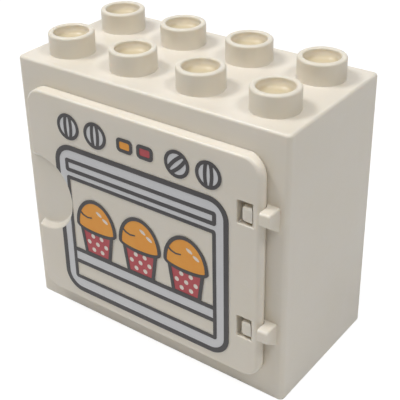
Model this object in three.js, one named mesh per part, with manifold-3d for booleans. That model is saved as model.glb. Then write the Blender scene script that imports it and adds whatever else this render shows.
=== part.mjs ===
// Toy oven: a brick-sized play cabinet with a printed door that swings on a snap-in bar hinge.
// Millimetres, +Z up. The front faces -Y and +X is on the viewer's right. The cabinet is one hollow
// moulding with studs on top and grip tubes below, the door is a second moulding, and the picture on
// the door is printed on it in thin layers of ink. The whole oven is centred on the origin at its base.
import * as THREE from 'three';
import { mergeVertices } from 'three/addons/utils/BufferGeometryUtils.js';
import Module from 'manifold-3d';

const wasm = await Module();
wasm.setup();

// Brick grid: studs stand on a square grid, and three brick heights make the cabinet.
const studPitch = 16;
const studColumns = 4;
const studRows = 2;
const brickHeight = 19.2;
const brickCount = 3;
const neighbourGap = 0.2;

const cabinetWidth = studColumns * studPitch - neighbourGap;
const cabinetDepth = studRows * studPitch - neighbourGap;
const cabinetHeight = brickCount * brickHeight;

// Cabinet shell.
const wall = 1.6;
const frontWall = 2;
const topPlate = 2;
const floorPlate = 1.8;
const gripDepth = 9.2;
const cabinetCornerRadius = 1;
const cabinetTopRadius = 0.6;

// Studs: hollow cups with a blind floor.
const studRadius = 4.675;
const studHeight = 4.4;
const studRim = 1.15;
const studHoleDepth = 2;
const studEdgeRadius = 0.4;
const studHoleEdge = 0.3;
const studRoot = 0.5;

// Grip under the cabinet: tubes between four studs, and a rib on the wall beside each stud.
const tubeWall = 1.3;
const ribWidth = 1.2;
const joinDepth = 0.4;

// Door panel, measured from the cabinet's outline.
const doorThickness = 2.35;
const doorGap = 0.15;
const doorLeftMargin = 3.85;
const doorHingeMargin = 3.8;
const doorEndMargin = 4.9;
const doorCornerRadius = 3.8;
const doorEdgeRadius = 0.55;

// Opening behind the door, inside the door's outline.
const openingSideInset = 6.1;
const openingTopInset = 5.1;

// Hinge: the door's round right edge is the bar, and two pairs of jaws on the cabinet hold it.
const hingeSpacing = 25.2;
const windowReach = 3.98;
const windowHeight = 4.8;
const barClearance = 0.3;
const barTipSlack = 0.05;
const jawLipGap = 0.1;
const innerJawReach = 3.2;
const innerJawRecess = 0.3;
const innerJawHeight = 3.2;
const innerJawDrop = 0.2;
const innerJawEdgeRadius = 0.5;
const outerJawWidth = 2.1;
const outerJawProud = 1;
const outerJawTopGap = 0.5;
const outerJawNoseHeight = 2.7;
const outerJawRootDrop = 2.4;
const outerJawNoseRadius = 0.5;

// Finger scoop in the door's left edge: a slanted dish that is steepest at its foot.
const scoopRadius = 8.8;
const scoopFloorRadius = 5.9;
const scoopDepth = 1.6;
const scoopFloorDrop = 2;
const scoopInset = 1.25;
const scoopRise = 0.2;

// Print: layers of ink of one thickness. Grey and the muffins' white ground lie on the door, the muffins'
// colours and the oven's black lines lie on those, and the muffins' black lines lie on top.
const inkThickness = 0.05;
const inkOverlapGap = 0.3;
const frameSideMargin = 6.85;
const frameFootMargin = 2.2;
const controlBandHeight = 10.1;
const frameLine = 1.1;
const frameCornerRadius = 4.4;
const glassSideMargin = 2.8;
const glassFootMargin = 3.35;
const glassTopMargin = 7;
const glassLine = 0.8;
const glassCornerRadius = 0.6;
const handleSideMargin = 2.7;
const handleTopMargin = 3.05;
const handleHeight = 3;
const handleLine = 0.85;
const tightestCorner = 0.15;
const rackLiftShare = 0.18;
const rackHeightShare = 0.116;
const rackLine = 0.9;

// Control row on the print.
const knobRadius = 2.85;
const knobLine = 0.72;
const knobBarLine = 0.75;
const knobBarSpacing = 1.5;
const knobBarEndSpacing = 0.95;
const knobRowShare = 0.59;
const knobPlaceShares = [-0.301, -0.176, 0.176, 0.301];
const knobTurnShares = [0, 0, 0.125, 0];
const lampWidth = 3.9;
const lampHeight = 3;
const lampLine = 0.72;
const lampCornerRadius = 0.9;
const lampPlaceShares = [-0.0436, 0.0436];

// Three muffins on the rack. Shares across follow one muffin's place, shares up follow the glass above
// the rack, and the dots' shares up and radius follow the case's height.
const muffinCount = 3;
const muffinLine = 0.8;
const muffinLift = 0.3;
const muffinRowShare = 0.965;
const caseFootShare = 0.27;
const caseBrimShare = 0.36;
const caseHeightShare = 0.384;
const topHalfWidthShare = 0.435;
const topRiseShare = 0.355;
const topSagShare = 0.071;
const dotRadiusShare = 0.08;
const dotPlaceShares = [
  [-0.1, 0.2], [0.1, 0.2], [-0.2, 0.44], [0, 0.44], [0.2, 0.44], [-0.1, 0.68], [0.1, 0.68],
];
const glintLength = 1.7;
const glintWidth = 0.8;
const glintPlaceShares = [[0.08, 0.6], [0.22, 0.42]];
const glintTiltShare = -0.08;
const foldLine = 0.45;
const foldShares = [[-0.38, 0.49], [-0.3, 0.38], [-0.2, 0.33], [-0.1, 0.36]];

// Fineness of the round shapes, and how far a cut runs past what it cuts.
const studSides = 28;
const tubeSides = 32;
const barSides = 24;
const scoopSides = 40;
const cornerSteps = 4;
const inkCornerSteps = 6;
const edgeSteps = 3;
const knobSides = 28;
const knobBarSteps = 4;
const dotSides = 10;
const overrun = 1;

const plasticColour = new THREE.Color(0.8, 0.745, 0.66);
const inkGrey = new THREE.Color(0.67, 0.67, 0.685);
const inkBlack = new THREE.Color(0.04, 0.036, 0.038);
const inkOrange = new THREE.Color(0.86, 0.34, 0.028);
const inkRed = new THREE.Color(0.47, 0.052, 0.066);
const inkWhite = new THREE.Color(0.88, 0.81, 0.74);

// Places worked out from the sizes above.
const frontY = -cabinetDepth / 2;
const floorTop = gripDepth + floorPlate;
const doorBackY = frontY - doorGap;
const doorFrontY = doorBackY - doorThickness;
const doorLeft = -cabinetWidth / 2 + doorLeftMargin;
const doorRight = cabinetWidth / 2 - doorHingeMargin;
const doorFoot = doorEndMargin;
const doorTop = cabinetHeight - doorEndMargin;
const doorWidth = doorRight - doorLeft;
const doorMiddleX = (doorLeft + doorRight) / 2;
const doorMiddleZ = (doorFoot + doorTop) / 2;
const barRadius = doorThickness / 2;
const hingeX = doorRight - barRadius;
const hingeY = doorBackY - barRadius;
const hingeHeights = [doorMiddleZ - hingeSpacing / 2, doorMiddleZ + hingeSpacing / 2];
const frontReach = doorGap + doorThickness + outerJawProud;

// Backs of the print's three layers.
const groundBack = doorFrontY;
const middleBack = groundBack - inkThickness;
const topBack = middleBack - inkThickness;

/** A closed three.js geometry as a manifold solid. */
function toSolid(geometry) {
  const bare = geometry.clone();
  bare.deleteAttribute('normal');
  bare.deleteAttribute('uv');
  const merged = mergeVertices(bare);
  return new wasm.Manifold(new wasm.Mesh({
    numProp: 3,
    vertProperties: new Float32Array(merged.attributes.position.array),
    triVerts: new Uint32Array(merged.index.array),
  }));
}

/** A manifold solid as a three.js geometry with its normals. */
function toGeometry(solid) {
  const mesh = solid.getMesh();
  const geometry = new THREE.BufferGeometry();
  geometry.setAttribute('position', new THREE.BufferAttribute(new Float32Array(mesh.vertProperties), 3));
  geometry.setIndex(new THREE.BufferAttribute(new Uint32Array(mesh.triVerts), 1));
  geometry.computeVertexNormals();
  return geometry;
}

/** All the solids in a list as one. */
function joinAll(solids) {
  return solids.reduce((whole, piece) => whole.add(piece));
}

/** An upright box between two corners. */
function boxBetween(x0, x1, y0, y1, z0, z1) {
  const geometry = new THREE.BoxGeometry(x1 - x0, y1 - y0, z1 - z0);
  geometry.translate((x0 + x1) / 2, (y0 + y1) / 2, (z0 + z1) / 2);
  return toSolid(geometry);
}

/** An upright round post from z0 to z1. */
function post(x, y, radius, z0, z1, sides) {
  const geometry = new THREE.CylinderGeometry(radius, radius, z1 - z0, sides);
  geometry.rotateX(Math.PI / 2);
  geometry.translate(x, y, (z0 + z1) / 2);
  return toSolid(geometry);
}

/** An outline drawn across X and Y, raised from z0 to z1. */
function raiseUp(points, z0, z1) {
  const shape = new THREE.Shape(points);
  const geometry = new THREE.ExtrudeGeometry(shape, { depth: z1 - z0, bevelEnabled: false });
  geometry.translate(0, 0, z0);
  return toSolid(geometry);
}

/** An outline drawn across X and Z, pushed forward from yBack to yFront. */
function pushForward(shape, yBack, yFront) {
  const geometry = new THREE.ExtrudeGeometry(shape, { depth: yBack - yFront, bevelEnabled: false });
  geometry.rotateX(Math.PI / 2);
  geometry.translate(0, yBack, 0);
  return toSolid(geometry);
}

/** An outline drawn across Y and Z, pushed right from x0 to x1. */
function pushRight(points, x0, x1) {
  const shape = new THREE.Shape(points);
  const geometry = new THREE.ExtrudeGeometry(shape, { depth: x1 - x0, bevelEnabled: false });
  geometry.rotateX(Math.PI / 2);
  geometry.rotateZ(Math.PI / 2);
  geometry.translate(x0, 0, 0);
  return toSolid(geometry);
}

/** Points on part of an ellipse or circle, both ends included. */
function arcPoints(centreX, centreY, radiusX, radiusY, startAngle, endAngle, steps) {
  const points = [];
  for (let step = 0; step <= steps; step += 1) {
    const angle = startAngle + (endAngle - startAngle) * step / steps;
    const x = centreX + radiusX * Math.cos(angle);
    const y = centreY + radiusY * Math.sin(angle);
    points.push(new THREE.Vector2(x, y));
  }
  return points;
}

/** Points on a quarter-round corner that starts after a number of quarter turns. */
function roundCorner(centreX, centreY, radius, quarterTurns, steps) {
  const start = quarterTurns * Math.PI / 2;
  return arcPoints(centreX, centreY, radius, radius, start, start + Math.PI / 2, steps);
}

/** A rounded rectangle's outline, counter-clockwise. */
function roundedRectangle(left, right, foot, top, radius, steps) {
  return [
    ...roundCorner(right - radius, top - radius, radius, 0, steps),
    ...roundCorner(left + radius, top - radius, radius, 1, steps),
    ...roundCorner(left + radius, foot + radius, radius, 2, steps),
    ...roundCorner(right - radius, foot + radius, radius, 3, steps),
  ];
}

/** A box's rounded outline with every side drawn in by a distance. A box has sides, radius and steps. */
function drawnIn(box, distance) {
  const radius = Math.max(box.radius - distance, tightestCorner);
  return roundedRectangle(box.left + distance, box.right - distance, box.foot + distance, box.top - distance,
    radius, box.steps);
}

/** A closed ellipse or circle outline, counter-clockwise. */
function ellipseOutline(centreX, centreY, radiusX, radiusY, sides) {
  return arcPoints(centreX, centreY, radiusX, radiusY, 0, Math.PI * 2, sides).slice(0, sides);
}

/** A bulging counter-clockwise outline with every edge moved outwards by a distance. */
function offsetOutline(points, distance) {
  const count = points.length;
  return points.map((point, index) => {
    const before = points[(index + count - 1) % count];
    const after = points[(index + 1) % count];
    const edgeIn = point.clone().sub(before).normalize();
    const edgeOut = after.clone().sub(point).normalize();
    const normalIn = new THREE.Vector2(edgeIn.y, -edgeIn.x);
    const normalOut = new THREE.Vector2(edgeOut.y, -edgeOut.x);
    const mitre = normalIn.clone().add(normalOut).normalize();
    return point.clone().addScaledVector(mitre, distance / mitre.dot(normalOut));
  });
}

/** The band that a line of one width leaves along a closed outline. */
function outlineBand(points, lineWidth) {
  const band = new THREE.Shape(offsetOutline(points, lineWidth / 2));
  band.holes.push(new THREE.Path(offsetOutline(points, -lineWidth / 2)));
  return band;
}

/** The band of a line of one width drawn just inside a box's rounded outline. */
function borderBand(box, lineWidth) {
  const band = new THREE.Shape(drawnIn(box, 0));
  band.holes.push(new THREE.Path(drawnIn(box, lineWidth)));
  return band;
}

/** The band that a line of one width leaves along an open run of points, with square ends. */
function strokeBand(points, lineWidth) {
  const sides = points.map((point, index) => {
    const before = points[Math.max(index - 1, 0)];
    const after = points[Math.min(index + 1, points.length - 1)];
    const along = after.clone().sub(before).normalize();
    return new THREE.Vector2(along.y, -along.x).multiplyScalar(lineWidth / 2);
  });
  const rightSide = points.map((point, index) => point.clone().add(sides[index]));
  const leftSide = points.map((point, index) => point.clone().sub(sides[index]));
  return new THREE.Shape([...rightSide, ...leftSide.reverse()]);
}

/** A slab of an outline drawn across X and Y, with both of its rims rounded. */
function roundedSlab(points, depth, rimRadius) {
  return new THREE.ExtrudeGeometry(new THREE.Shape(points), {
    depth: depth - 2 * rimRadius,
    bevelEnabled: true,
    bevelThickness: rimRadius,
    bevelSize: rimRadius,
    bevelOffset: -rimRadius,
    bevelSegments: edgeSteps,
  }).translate(0, 0, rimRadius);
}

/** Middle of stud or tube number index in a row of count. */
function gridPlace(index, count) {
  return (index - (count - 1) / 2) * studPitch;
}

/** One hollow stud standing on the cabinet's top at x, y. */
function makeStud(x, y) {
  const top = cabinetHeight + studHeight;
  const holeRadius = studRadius - studRim;
  const profile = [
    new THREE.Vector2(0, cabinetHeight - studRoot),
    new THREE.Vector2(studRadius, cabinetHeight - studRoot),
    ...roundCorner(studRadius - studEdgeRadius, top - studEdgeRadius, studEdgeRadius, 0, edgeSteps),
    new THREE.Vector2(holeRadius + studHoleEdge, top),
    new THREE.Vector2(holeRadius, top - studHoleEdge),
    new THREE.Vector2(holeRadius, top - studHoleDepth),
    new THREE.Vector2(0, top - studHoleDepth),
  ];
  const geometry = new THREE.LatheGeometry(profile, studSides);
  geometry.rotateX(Math.PI / 2);
  geometry.translate(x, y, 0);
  return toSolid(geometry);
}

/** The tubes and ribs that grip the studs of a brick below. */
function makeGrip() {
  const tubeRadius = studPitch * Math.SQRT2 / 2 - studRadius;
  const gripTop = gripDepth + joinDepth;
  const pieces = [];
  for (let column = 0; column < studColumns - 1; column += 1) {
    for (let row = 0; row < studRows - 1; row += 1) {
      const x = gridPlace(column, studColumns - 1);
      const y = gridPlace(row, studRows - 1);
      const outside = post(x, y, tubeRadius, 0, gripTop, tubeSides);
      pieces.push(outside.subtract(post(x, y, tubeRadius - tubeWall, -overrun, gripDepth, tubeSides)));
    }
  }
  const wallX = cabinetWidth / 2 - wall + joinDepth;
  const wallY = cabinetDepth / 2 - wall + joinDepth;
  const ribX = gridPlace(studColumns - 1, studColumns) + studRadius;
  const ribY = gridPlace(studRows - 1, studRows) + studRadius;
  for (let column = 0; column < studColumns; column += 1) {
    const x = gridPlace(column, studColumns);
    pieces.push(boxBetween(x - ribWidth / 2, x + ribWidth / 2, ribY, wallY, 0, gripTop));
    pieces.push(boxBetween(x - ribWidth / 2, x + ribWidth / 2, -wallY, -ribY, 0, gripTop));
  }
  for (let row = 0; row < studRows; row += 1) {
    const y = gridPlace(row, studRows);
    pieces.push(boxBetween(ribX, wallX, y - ribWidth / 2, y + ribWidth / 2, 0, gripTop));
    pieces.push(boxBetween(-wallX, -ribX, y - ribWidth / 2, y + ribWidth / 2, 0, gripTop));
  }
  return pieces;
}

/** Space that the jaws leave round the hinge bar. */
function makeBarSpace(z0, z1) {
  return post(hingeX, hingeY, barRadius + barClearance, z0, z1, barSides);
}

/** A jaw cut to its plan, seen from above, and its side view, with the bar's space taken out. */
function makeJaw(plan, side, left, right, foot, top) {
  return raiseUp(plan, foot - overrun, top + overrun)
    .intersect(pushRight(side, left - overrun, right + overrun))
    .subtract(makeBarSpace(foot - overrun, top + overrun));
}

/** The jaw left of the bar, which stands in the door's window. */
function makeInnerJaw(height) {
  const radius = innerJawEdgeRadius;
  const left = hingeX - innerJawReach;
  const front = doorFrontY + innerJawRecess;
  const back = frontY + joinDepth;
  const foot = height - innerJawDrop - innerJawHeight / 2;
  const top = foot + innerJawHeight;
  const plan = [
    new THREE.Vector2(hingeX, back),
    new THREE.Vector2(left, back),
    ...roundCorner(left + radius, front + radius, radius, 2, edgeSteps),
    new THREE.Vector2(hingeX, front),
  ];
  const side = [
    new THREE.Vector2(back, top),
    ...roundCorner(front + radius, top - radius, radius, 1, edgeSteps),
    ...roundCorner(front + radius, foot + radius, radius, 2, edgeSteps),
    new THREE.Vector2(back, foot),
  ];
  return makeJaw(plan, side, left, hingeX, foot, top);
}

/** The jaw right of the bar: a bracket with a level top and a sloping foot. */
function makeOuterJaw(height) {
  const radius = outerJawNoseRadius;
  const left = hingeX + barRadius + jawLipGap;
  const right = left + outerJawWidth;
  const front = frontY - frontReach;
  const back = frontY + joinDepth;
  const top = height + windowHeight / 2 - outerJawTopGap;
  const noseFoot = top - outerJawNoseHeight;
  const rootFoot = noseFoot - outerJawRootDrop;
  const plan = [
    new THREE.Vector2(right, back),
    new THREE.Vector2(hingeX, back),
    new THREE.Vector2(hingeX, hingeY),
    new THREE.Vector2(left, hingeY),
    ...roundCorner(left + radius, front + radius, radius, 2, edgeSteps),
    ...roundCorner(right - radius, front + radius, radius, 3, edgeSteps),
  ];
  const side = [
    new THREE.Vector2(back, top),
    ...roundCorner(front + radius, top - radius, radius, 1, edgeSteps),
    ...roundCorner(front + radius, noseFoot + radius, radius, 2, edgeSteps),
    new THREE.Vector2(frontY, rootFoot),
    new THREE.Vector2(back, rootFoot),
  ];
  return makeJaw(plan, side, hingeX, right, rootFoot, top);
}

/** The cabinet: shell, oven space, grip, studs and hinge jaws in one moulding. */
function makeCabinet() {
  const outline = roundedRectangle(-cabinetWidth / 2, cabinetWidth / 2, -cabinetDepth / 2, cabinetDepth / 2,
    cabinetCornerRadius, cornerSteps);
  const slab = roundedSlab(outline, cabinetHeight + overrun, cabinetTopRadius);
  slab.translate(0, 0, -overrun);
  const insideX = cabinetWidth / 2 - wall;
  const insideY = cabinetDepth / 2 - wall;
  const below = boxBetween(-cabinetWidth, cabinetWidth, -cabinetDepth, cabinetDepth, -2 * overrun, 0);
  const gripSpace = boxBetween(-insideX, insideX, -insideY, insideY, -overrun, gripDepth);
  const ovenSpace = boxBetween(-insideX, insideX, frontY + frontWall, insideY, floorTop,
    cabinetHeight - topPlate);
  const opening = boxBetween(doorLeft + openingSideInset, doorRight - openingSideInset, frontY - overrun,
    frontY + frontWall + overrun, floorTop, doorTop - openingTopInset);
  const shell = toSolid(slab).subtract(below).subtract(gripSpace).subtract(ovenSpace).subtract(opening);
  const additions = makeGrip();
  for (let column = 0; column < studColumns; column += 1) {
    for (let row = 0; row < studRows; row += 1) {
      additions.push(makeStud(gridPlace(column, studColumns), gridPlace(row, studRows)));
    }
  }
  for (const height of hingeHeights) {
    additions.push(makeInnerJaw(height), makeOuterJaw(height));
  }
  return joinAll([shell, ...additions]);
}

/** The tool shape of the finger scoop: a leaning cone, wide at the door's front. */
function makeScoop() {
  const geometry = new THREE.CylinderGeometry(scoopRadius, scoopFloorRadius, scoopDepth, scoopSides);
  geometry.rotateX(Math.PI);
  const position = geometry.attributes.position;
  for (let index = 0; index < position.count; index += 1) {
    const depthShare = 0.5 + position.getY(index) / scoopDepth;
    position.setZ(index, position.getZ(index) - scoopFloorDrop * depthShare);
  }
  geometry.translate(doorLeft + scoopInset, doorFrontY + scoopDepth / 2, doorMiddleZ + scoopRise);
  return toSolid(geometry);
}

/** A straight round hole through the print where the scoop's rim lies. */
function makeScoopMask() {
  const centreX = doorLeft + scoopInset;
  const centreZ = doorMiddleZ + scoopRise;
  return makeInkSpace(ellipseOutline(centreX, centreZ, scoopRadius, scoopRadius, scoopSides));
}

/**
 * The door: a panel whose right edge is the round hinge bar, with two windows and the finger scoop. The
 * panel's own outline runs a little past the bar, so that the bar's roundness ends it.
 */
function makeDoor() {
  const outline = roundedRectangle(doorLeft, doorRight + barTipSlack, doorFoot, doorTop, doorCornerRadius,
    cornerSteps);
  const slab = roundedSlab(outline, doorThickness + overrun, doorEdgeRadius);
  slab.rotateX(Math.PI / 2);
  slab.translate(0, doorBackY + overrun, 0);
  const plan = [
    new THREE.Vector2(hingeX, doorBackY),
    new THREE.Vector2(doorLeft - overrun, doorBackY),
    new THREE.Vector2(doorLeft - overrun, doorFrontY - overrun),
    new THREE.Vector2(hingeX, doorFrontY - overrun),
    ...arcPoints(hingeX, hingeY, barRadius, barRadius, -Math.PI / 2, Math.PI / 2, barSides / 2),
  ];
  const thickness = raiseUp(plan, doorFoot - overrun, doorTop + overrun);
  let door = toSolid(slab).intersect(thickness);
  for (const height of hingeHeights) {
    const foot = height - windowHeight / 2;
    const top = height + windowHeight / 2;
    const window = boxBetween(hingeX - windowReach, doorRight + overrun, doorFrontY - overrun,
      doorBackY + overrun, foot, top);
    const bar = raiseUp(ellipseOutline(hingeX, hingeY, barRadius, barRadius, barSides), foot - joinDepth,
      top + joinDepth);
    door = door.subtract(window).add(bar);
  }
  return door.subtract(makeScoop());
}

/** One ink shape on the door's front, in the layer with one back. */
function makeInk(shape, back) {
  return pushForward(shape, back, back - inkThickness);
}

/** A filled ink shape inside a line's outline, which the line then hides at its rim. */
function makeFill(points, back) {
  return makeInk(new THREE.Shape(offsetOutline(points, -inkOverlapGap / 2)), back);
}

/** Space through every layer of the print, for what an outline keeps clear. */
function makeInkSpace(points) {
  return pushForward(new THREE.Shape(points), doorFrontY + overrun, doorFrontY - overrun);
}

/** The space that a neighbour's fill leaves for a shape with its own fill. */
function makeFillSpace(points) {
  return makeInkSpace(offsetOutline(points, inkOverlapGap / 2));
}

/** Boxes of the printed oven front, each along the outer edge of its black line, and the rack's places. */
function ovenFrontBoxes() {
  const left = doorLeft + frameSideMargin;
  const right = doorRight - frameSideMargin;
  const foot = doorFoot + frameFootMargin;
  const top = doorTop - controlBandHeight;
  const glassFoot = foot + glassFootMargin;
  const glassTop = top - glassTopMargin;
  const glassHeight = glassTop - glassFoot;
  const rackFoot = glassFoot + glassHeight * rackLiftShare;
  return {
    frame: { left, right, foot, top, radius: frameCornerRadius, steps: inkCornerSteps },
    glass: {
      left: left + glassSideMargin,
      right: right - glassSideMargin,
      foot: glassFoot,
      top: glassTop,
      radius: glassCornerRadius,
      steps: edgeSteps,
    },
    handle: {
      left: left + handleSideMargin,
      right: right - handleSideMargin,
      foot: top - handleTopMargin - handleHeight,
      top: top - handleTopMargin,
      radius: glassCornerRadius,
      steps: edgeSteps,
    },
    glassLeft: left + glassSideMargin + glassLine,
    glassRight: right - glassSideMargin - glassLine,
    glassTop,
    rackFoot,
    rackTop: rackFoot + glassHeight * rackHeightShare,
  };
}

/** Where one muffin stands, and its case and top outlines. */
function muffinOutlines(oven, index) {
  const glassWidth = oven.glassRight - oven.glassLeft;
  const place = glassWidth * muffinRowShare / muffinCount;
  const x = (oven.glassLeft + oven.glassRight) / 2 + (index - (muffinCount - 1) / 2) * place;
  const space = oven.glassTop - oven.rackTop;
  const foot = oven.rackTop + muffinLift;
  const brim = foot + space * caseHeightShare;
  const rise = space * topRiseShare;
  const sag = space * topSagShare;
  const halfWidth = place * topHalfWidthShare;
  const caseOutline = [
    new THREE.Vector2(x - place * caseFootShare, foot),
    new THREE.Vector2(x + place * caseFootShare, foot),
    new THREE.Vector2(x + place * caseBrimShare, brim),
    new THREE.Vector2(x - place * caseBrimShare, brim),
  ];
  const upper = arcPoints(x, brim, halfWidth, rise, 0, Math.PI, knobSides / 2);
  const lower = arcPoints(x, brim, halfWidth, sag, Math.PI, Math.PI * 2, knobSides / 2);
  const topOutline = [...upper, ...lower.slice(1, -1)];
  return { x, place, foot, brim, rise, caseOutline, topOutline };
}

/** The black lines of one muffin: its case, its top and a fold that starts at the top's rim. */
function makeMuffinLines(muffin) {
  const caseLine = makeInk(outlineBand(muffin.caseOutline, muffinLine), topBack)
    .subtract(makeInkSpace(muffin.topOutline));
  const fold = foldShares.map(([across, up]) => new THREE.Vector2(
    muffin.x + muffin.place * across, muffin.brim + muffin.rise * up));
  return joinAll([
    caseLine,
    makeInk(outlineBand(muffin.topOutline, muffinLine), topBack),
    makeInk(strokeBand(fold, foldLine), topBack),
  ]);
}

/** The red case of one muffin, with round holes that show the white ground as dots. */
function makeMuffinCase(muffin) {
  const caseHeight = muffin.brim - muffin.foot;
  const dotRadius = caseHeight * dotRadiusShare;
  const dots = dotPlaceShares.map(([across, up]) => makeInkSpace(ellipseOutline(
    muffin.x + muffin.place * across, muffin.foot + caseHeight * up, dotRadius, dotRadius, dotSides)));
  return makeFill(muffin.caseOutline, middleBack)
    .subtract(makeFillSpace(muffin.topOutline))
    .subtract(joinAll(dots));
}

/** The orange top of one muffin, with holes that show the white ground as glints. */
function makeMuffinTop(muffin) {
  const glints = glintPlaceShares.map(([across, up]) => {
    const middle = new THREE.Vector2(muffin.x + muffin.place * across, muffin.brim + muffin.rise * up);
    const outline = ellipseOutline(middle.x, middle.y, glintLength / 2, glintWidth / 2, dotSides);
    return makeInkSpace(outline.map((point) => point.rotateAround(middle, glintTiltShare * Math.PI * 2)));
  });
  return makeFill(muffin.topOutline, middleBack).subtract(joinAll(glints));
}

/** The white ground under one muffin. */
function makeMuffinGround(muffin) {
  return makeFill(muffin.caseOutline, groundBack).add(makeFill(muffin.topOutline, groundBack));
}

/** The grey band with the rack, clear of the glass, the muffins and the scoop. */
function makeOvenGrey(oven, muffins, scoopMask) {
  const band = makeFill(drawnIn(oven.frame, frameLine / 2), groundBack)
    .subtract(makeFillSpace(drawnIn(oven.glass, glassLine / 2)));
  const rack = makeInk(new THREE.Shape([
    new THREE.Vector2(oven.glassLeft - glassLine, oven.rackFoot),
    new THREE.Vector2(oven.glassRight + glassLine, oven.rackFoot),
    new THREE.Vector2(oven.glassRight + glassLine, oven.rackTop),
    new THREE.Vector2(oven.glassLeft - glassLine, oven.rackTop),
  ]), groundBack);
  const grey = band.add(rack).subtract(scoopMask);
  return muffins.reduce((rest, muffin) => rest.subtract(makeFillSpace(muffin.caseOutline)), grey);
}

/** The black lines round the glass and along the rack, clear of the muffins and the scoop. */
function makeGlassLines(oven, muffins, scoopMask) {
  const racks = [oven.rackFoot, oven.rackTop].map((height) => makeInk(strokeBand([
    new THREE.Vector2(oven.glassLeft - glassLine / 2, height),
    new THREE.Vector2(oven.glassRight + glassLine / 2, height),
  ], rackLine), middleBack));
  const lines = joinAll([makeInk(borderBand(oven.glass, glassLine), middleBack), ...racks]);
  return muffins.reduce((rest, muffin) => rest.subtract(makeFillSpace(muffin.caseOutline)),
    lines.subtract(scoopMask));
}

/** One printed knob: its grey face and its black ring with two bowed bars, turned to its setting. */
function makeKnob(index) {
  const x = doorMiddleX + doorWidth * knobPlaceShares[index];
  const z = doorTop - controlBandHeight * knobRowShare;
  const circle = ellipseOutline(x, z, knobRadius - knobLine / 2, knobRadius - knobLine / 2, knobSides);
  const turn = -knobTurnShares[index] * Math.PI * 2;
  const middle = new THREE.Vector2(x, z);
  const barHalf = Math.sqrt((knobRadius - knobLine / 2) ** 2 - (knobBarEndSpacing / 2) ** 2);
  const bulge = (knobBarSpacing - knobBarEndSpacing) / 2;
  const bars = [-1, 1].map((side) => {
    const line = Array.from({ length: knobBarSteps + 1 }, (unused, step) => {
      const up = 2 * step / knobBarSteps - 1;
      const across = side * (knobBarEndSpacing / 2 + bulge * (1 - up ** 2));
      return new THREE.Vector2(x + across, z + up * barHalf).rotateAround(middle, turn);
    });
    return makeInk(strokeBand(line, knobBarLine), middleBack);
  });
  return {
    face: makeFill(circle, groundBack),
    lines: joinAll([makeInk(outlineBand(circle, knobLine), middleBack), ...bars]),
  };
}

/** One printed lamp: its coloured middle and its black rim. */
function makeLamp(index) {
  const x = doorMiddleX + doorWidth * lampPlaceShares[index];
  const z = doorTop - controlBandHeight * knobRowShare;
  const box = {
    left: x - lampWidth / 2,
    right: x + lampWidth / 2,
    foot: z - lampHeight / 2,
    top: z + lampHeight / 2,
    radius: lampCornerRadius,
    steps: inkCornerSteps,
  };
  return {
    glow: makeFill(drawnIn(box, lampLine / 2), groundBack),
    rim: makeInk(borderBand(box, lampLine), middleBack),
  };
}

/** A named mesh of one solid with its own material. */
function makeMesh(name, solid, colour, roughness) {
  const material = new THREE.MeshStandardMaterial({ color: colour, roughness, metalness: 0 });
  const mesh = new THREE.Mesh(toGeometry(solid), material);
  mesh.name = name;
  return mesh;
}

const plasticRoughness = 0.35;
const inkRoughness = 0.5;

const oven = new THREE.Group();
oven.position.y = frontReach / 2;
oven.add(makeMesh('cabinet', makeCabinet(), plasticColour, plasticRoughness));

// The door and its print turn together about the hinge bar's middle.
const swing = new THREE.Group();
swing.position.set(hingeX, hingeY, 0);
oven.add(swing);

/** A mesh that swings with the door. */
function addToDoor(name, solid, colour, roughness) {
  const mesh = makeMesh(name, solid, colour, roughness);
  mesh.geometry.translate(-hingeX, -hingeY, 0);
  swing.add(mesh);
}

addToDoor('door', makeDoor(), plasticColour, plasticRoughness);

knobPlaceShares.forEach((share, index) => {
  const knob = makeKnob(index);
  addToDoor(`knob_print_face_${index + 1}`, knob.face, inkGrey, inkRoughness);
  addToDoor(`knob_print_lines_${index + 1}`, knob.lines, inkBlack, inkRoughness);
});

const lampNames = ['orange', 'red'];
const lampInks = [inkOrange, inkRed];
lampNames.forEach((name, index) => {
  const lamp = makeLamp(index);
  addToDoor(`lamp_print_${name}`, lamp.glow, lampInks[index], inkRoughness);
  addToDoor(`lamp_print_rim_${name}`, lamp.rim, inkBlack, inkRoughness);
});

const ovenFront = ovenFrontBoxes();
const muffins = Array.from({ length: muffinCount }, (unused, index) => muffinOutlines(ovenFront, index));
const scoopMask = makeScoopMask();
addToDoor('oven_print_grey', makeOvenGrey(ovenFront, muffins, scoopMask), inkGrey, inkRoughness);
const frameRing = makeInk(borderBand(ovenFront.frame, frameLine), middleBack);
const handleRing = makeInk(borderBand(ovenFront.handle, handleLine), middleBack);
addToDoor('oven_print_frame', frameRing.subtract(scoopMask), inkBlack, inkRoughness);
addToDoor('oven_print_handle', handleRing, inkBlack, inkRoughness);
addToDoor('oven_print_glass', makeGlassLines(ovenFront, muffins, scoopMask), inkBlack, inkRoughness);

muffins.forEach((muffin, index) => {
  const number = index + 1;
  addToDoor(`muffin_print_ground_${number}`, makeMuffinGround(muffin), inkWhite, inkRoughness);
  addToDoor(`muffin_print_case_${number}`, makeMuffinCase(muffin), inkRed, inkRoughness);
  addToDoor(`muffin_print_top_${number}`, makeMuffinTop(muffin), inkOrange, inkRoughness);
  addToDoor(`muffin_print_lines_${number}`, makeMuffinLines(muffin), inkBlack, inkRoughness);
});

export default oven;
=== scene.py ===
"""Toy oven: the finished looks of a studded brick cabinet with a printed door on a bar hinge.

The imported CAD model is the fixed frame, and every piece here is built in its coordinates: +Z is up, the
front faces -Y and +X is on the viewer's right. Sizes are written in millimetres, as in the CAD source, and
a mesh is scaled to metres when it is made. Each sub-assembly is a class that builds its meshes and gives
them their finish, and main() builds them in order.
"""
import logging
import math
from collections.abc import Callable
from dataclasses import dataclass, field
from enum import Enum

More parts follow.
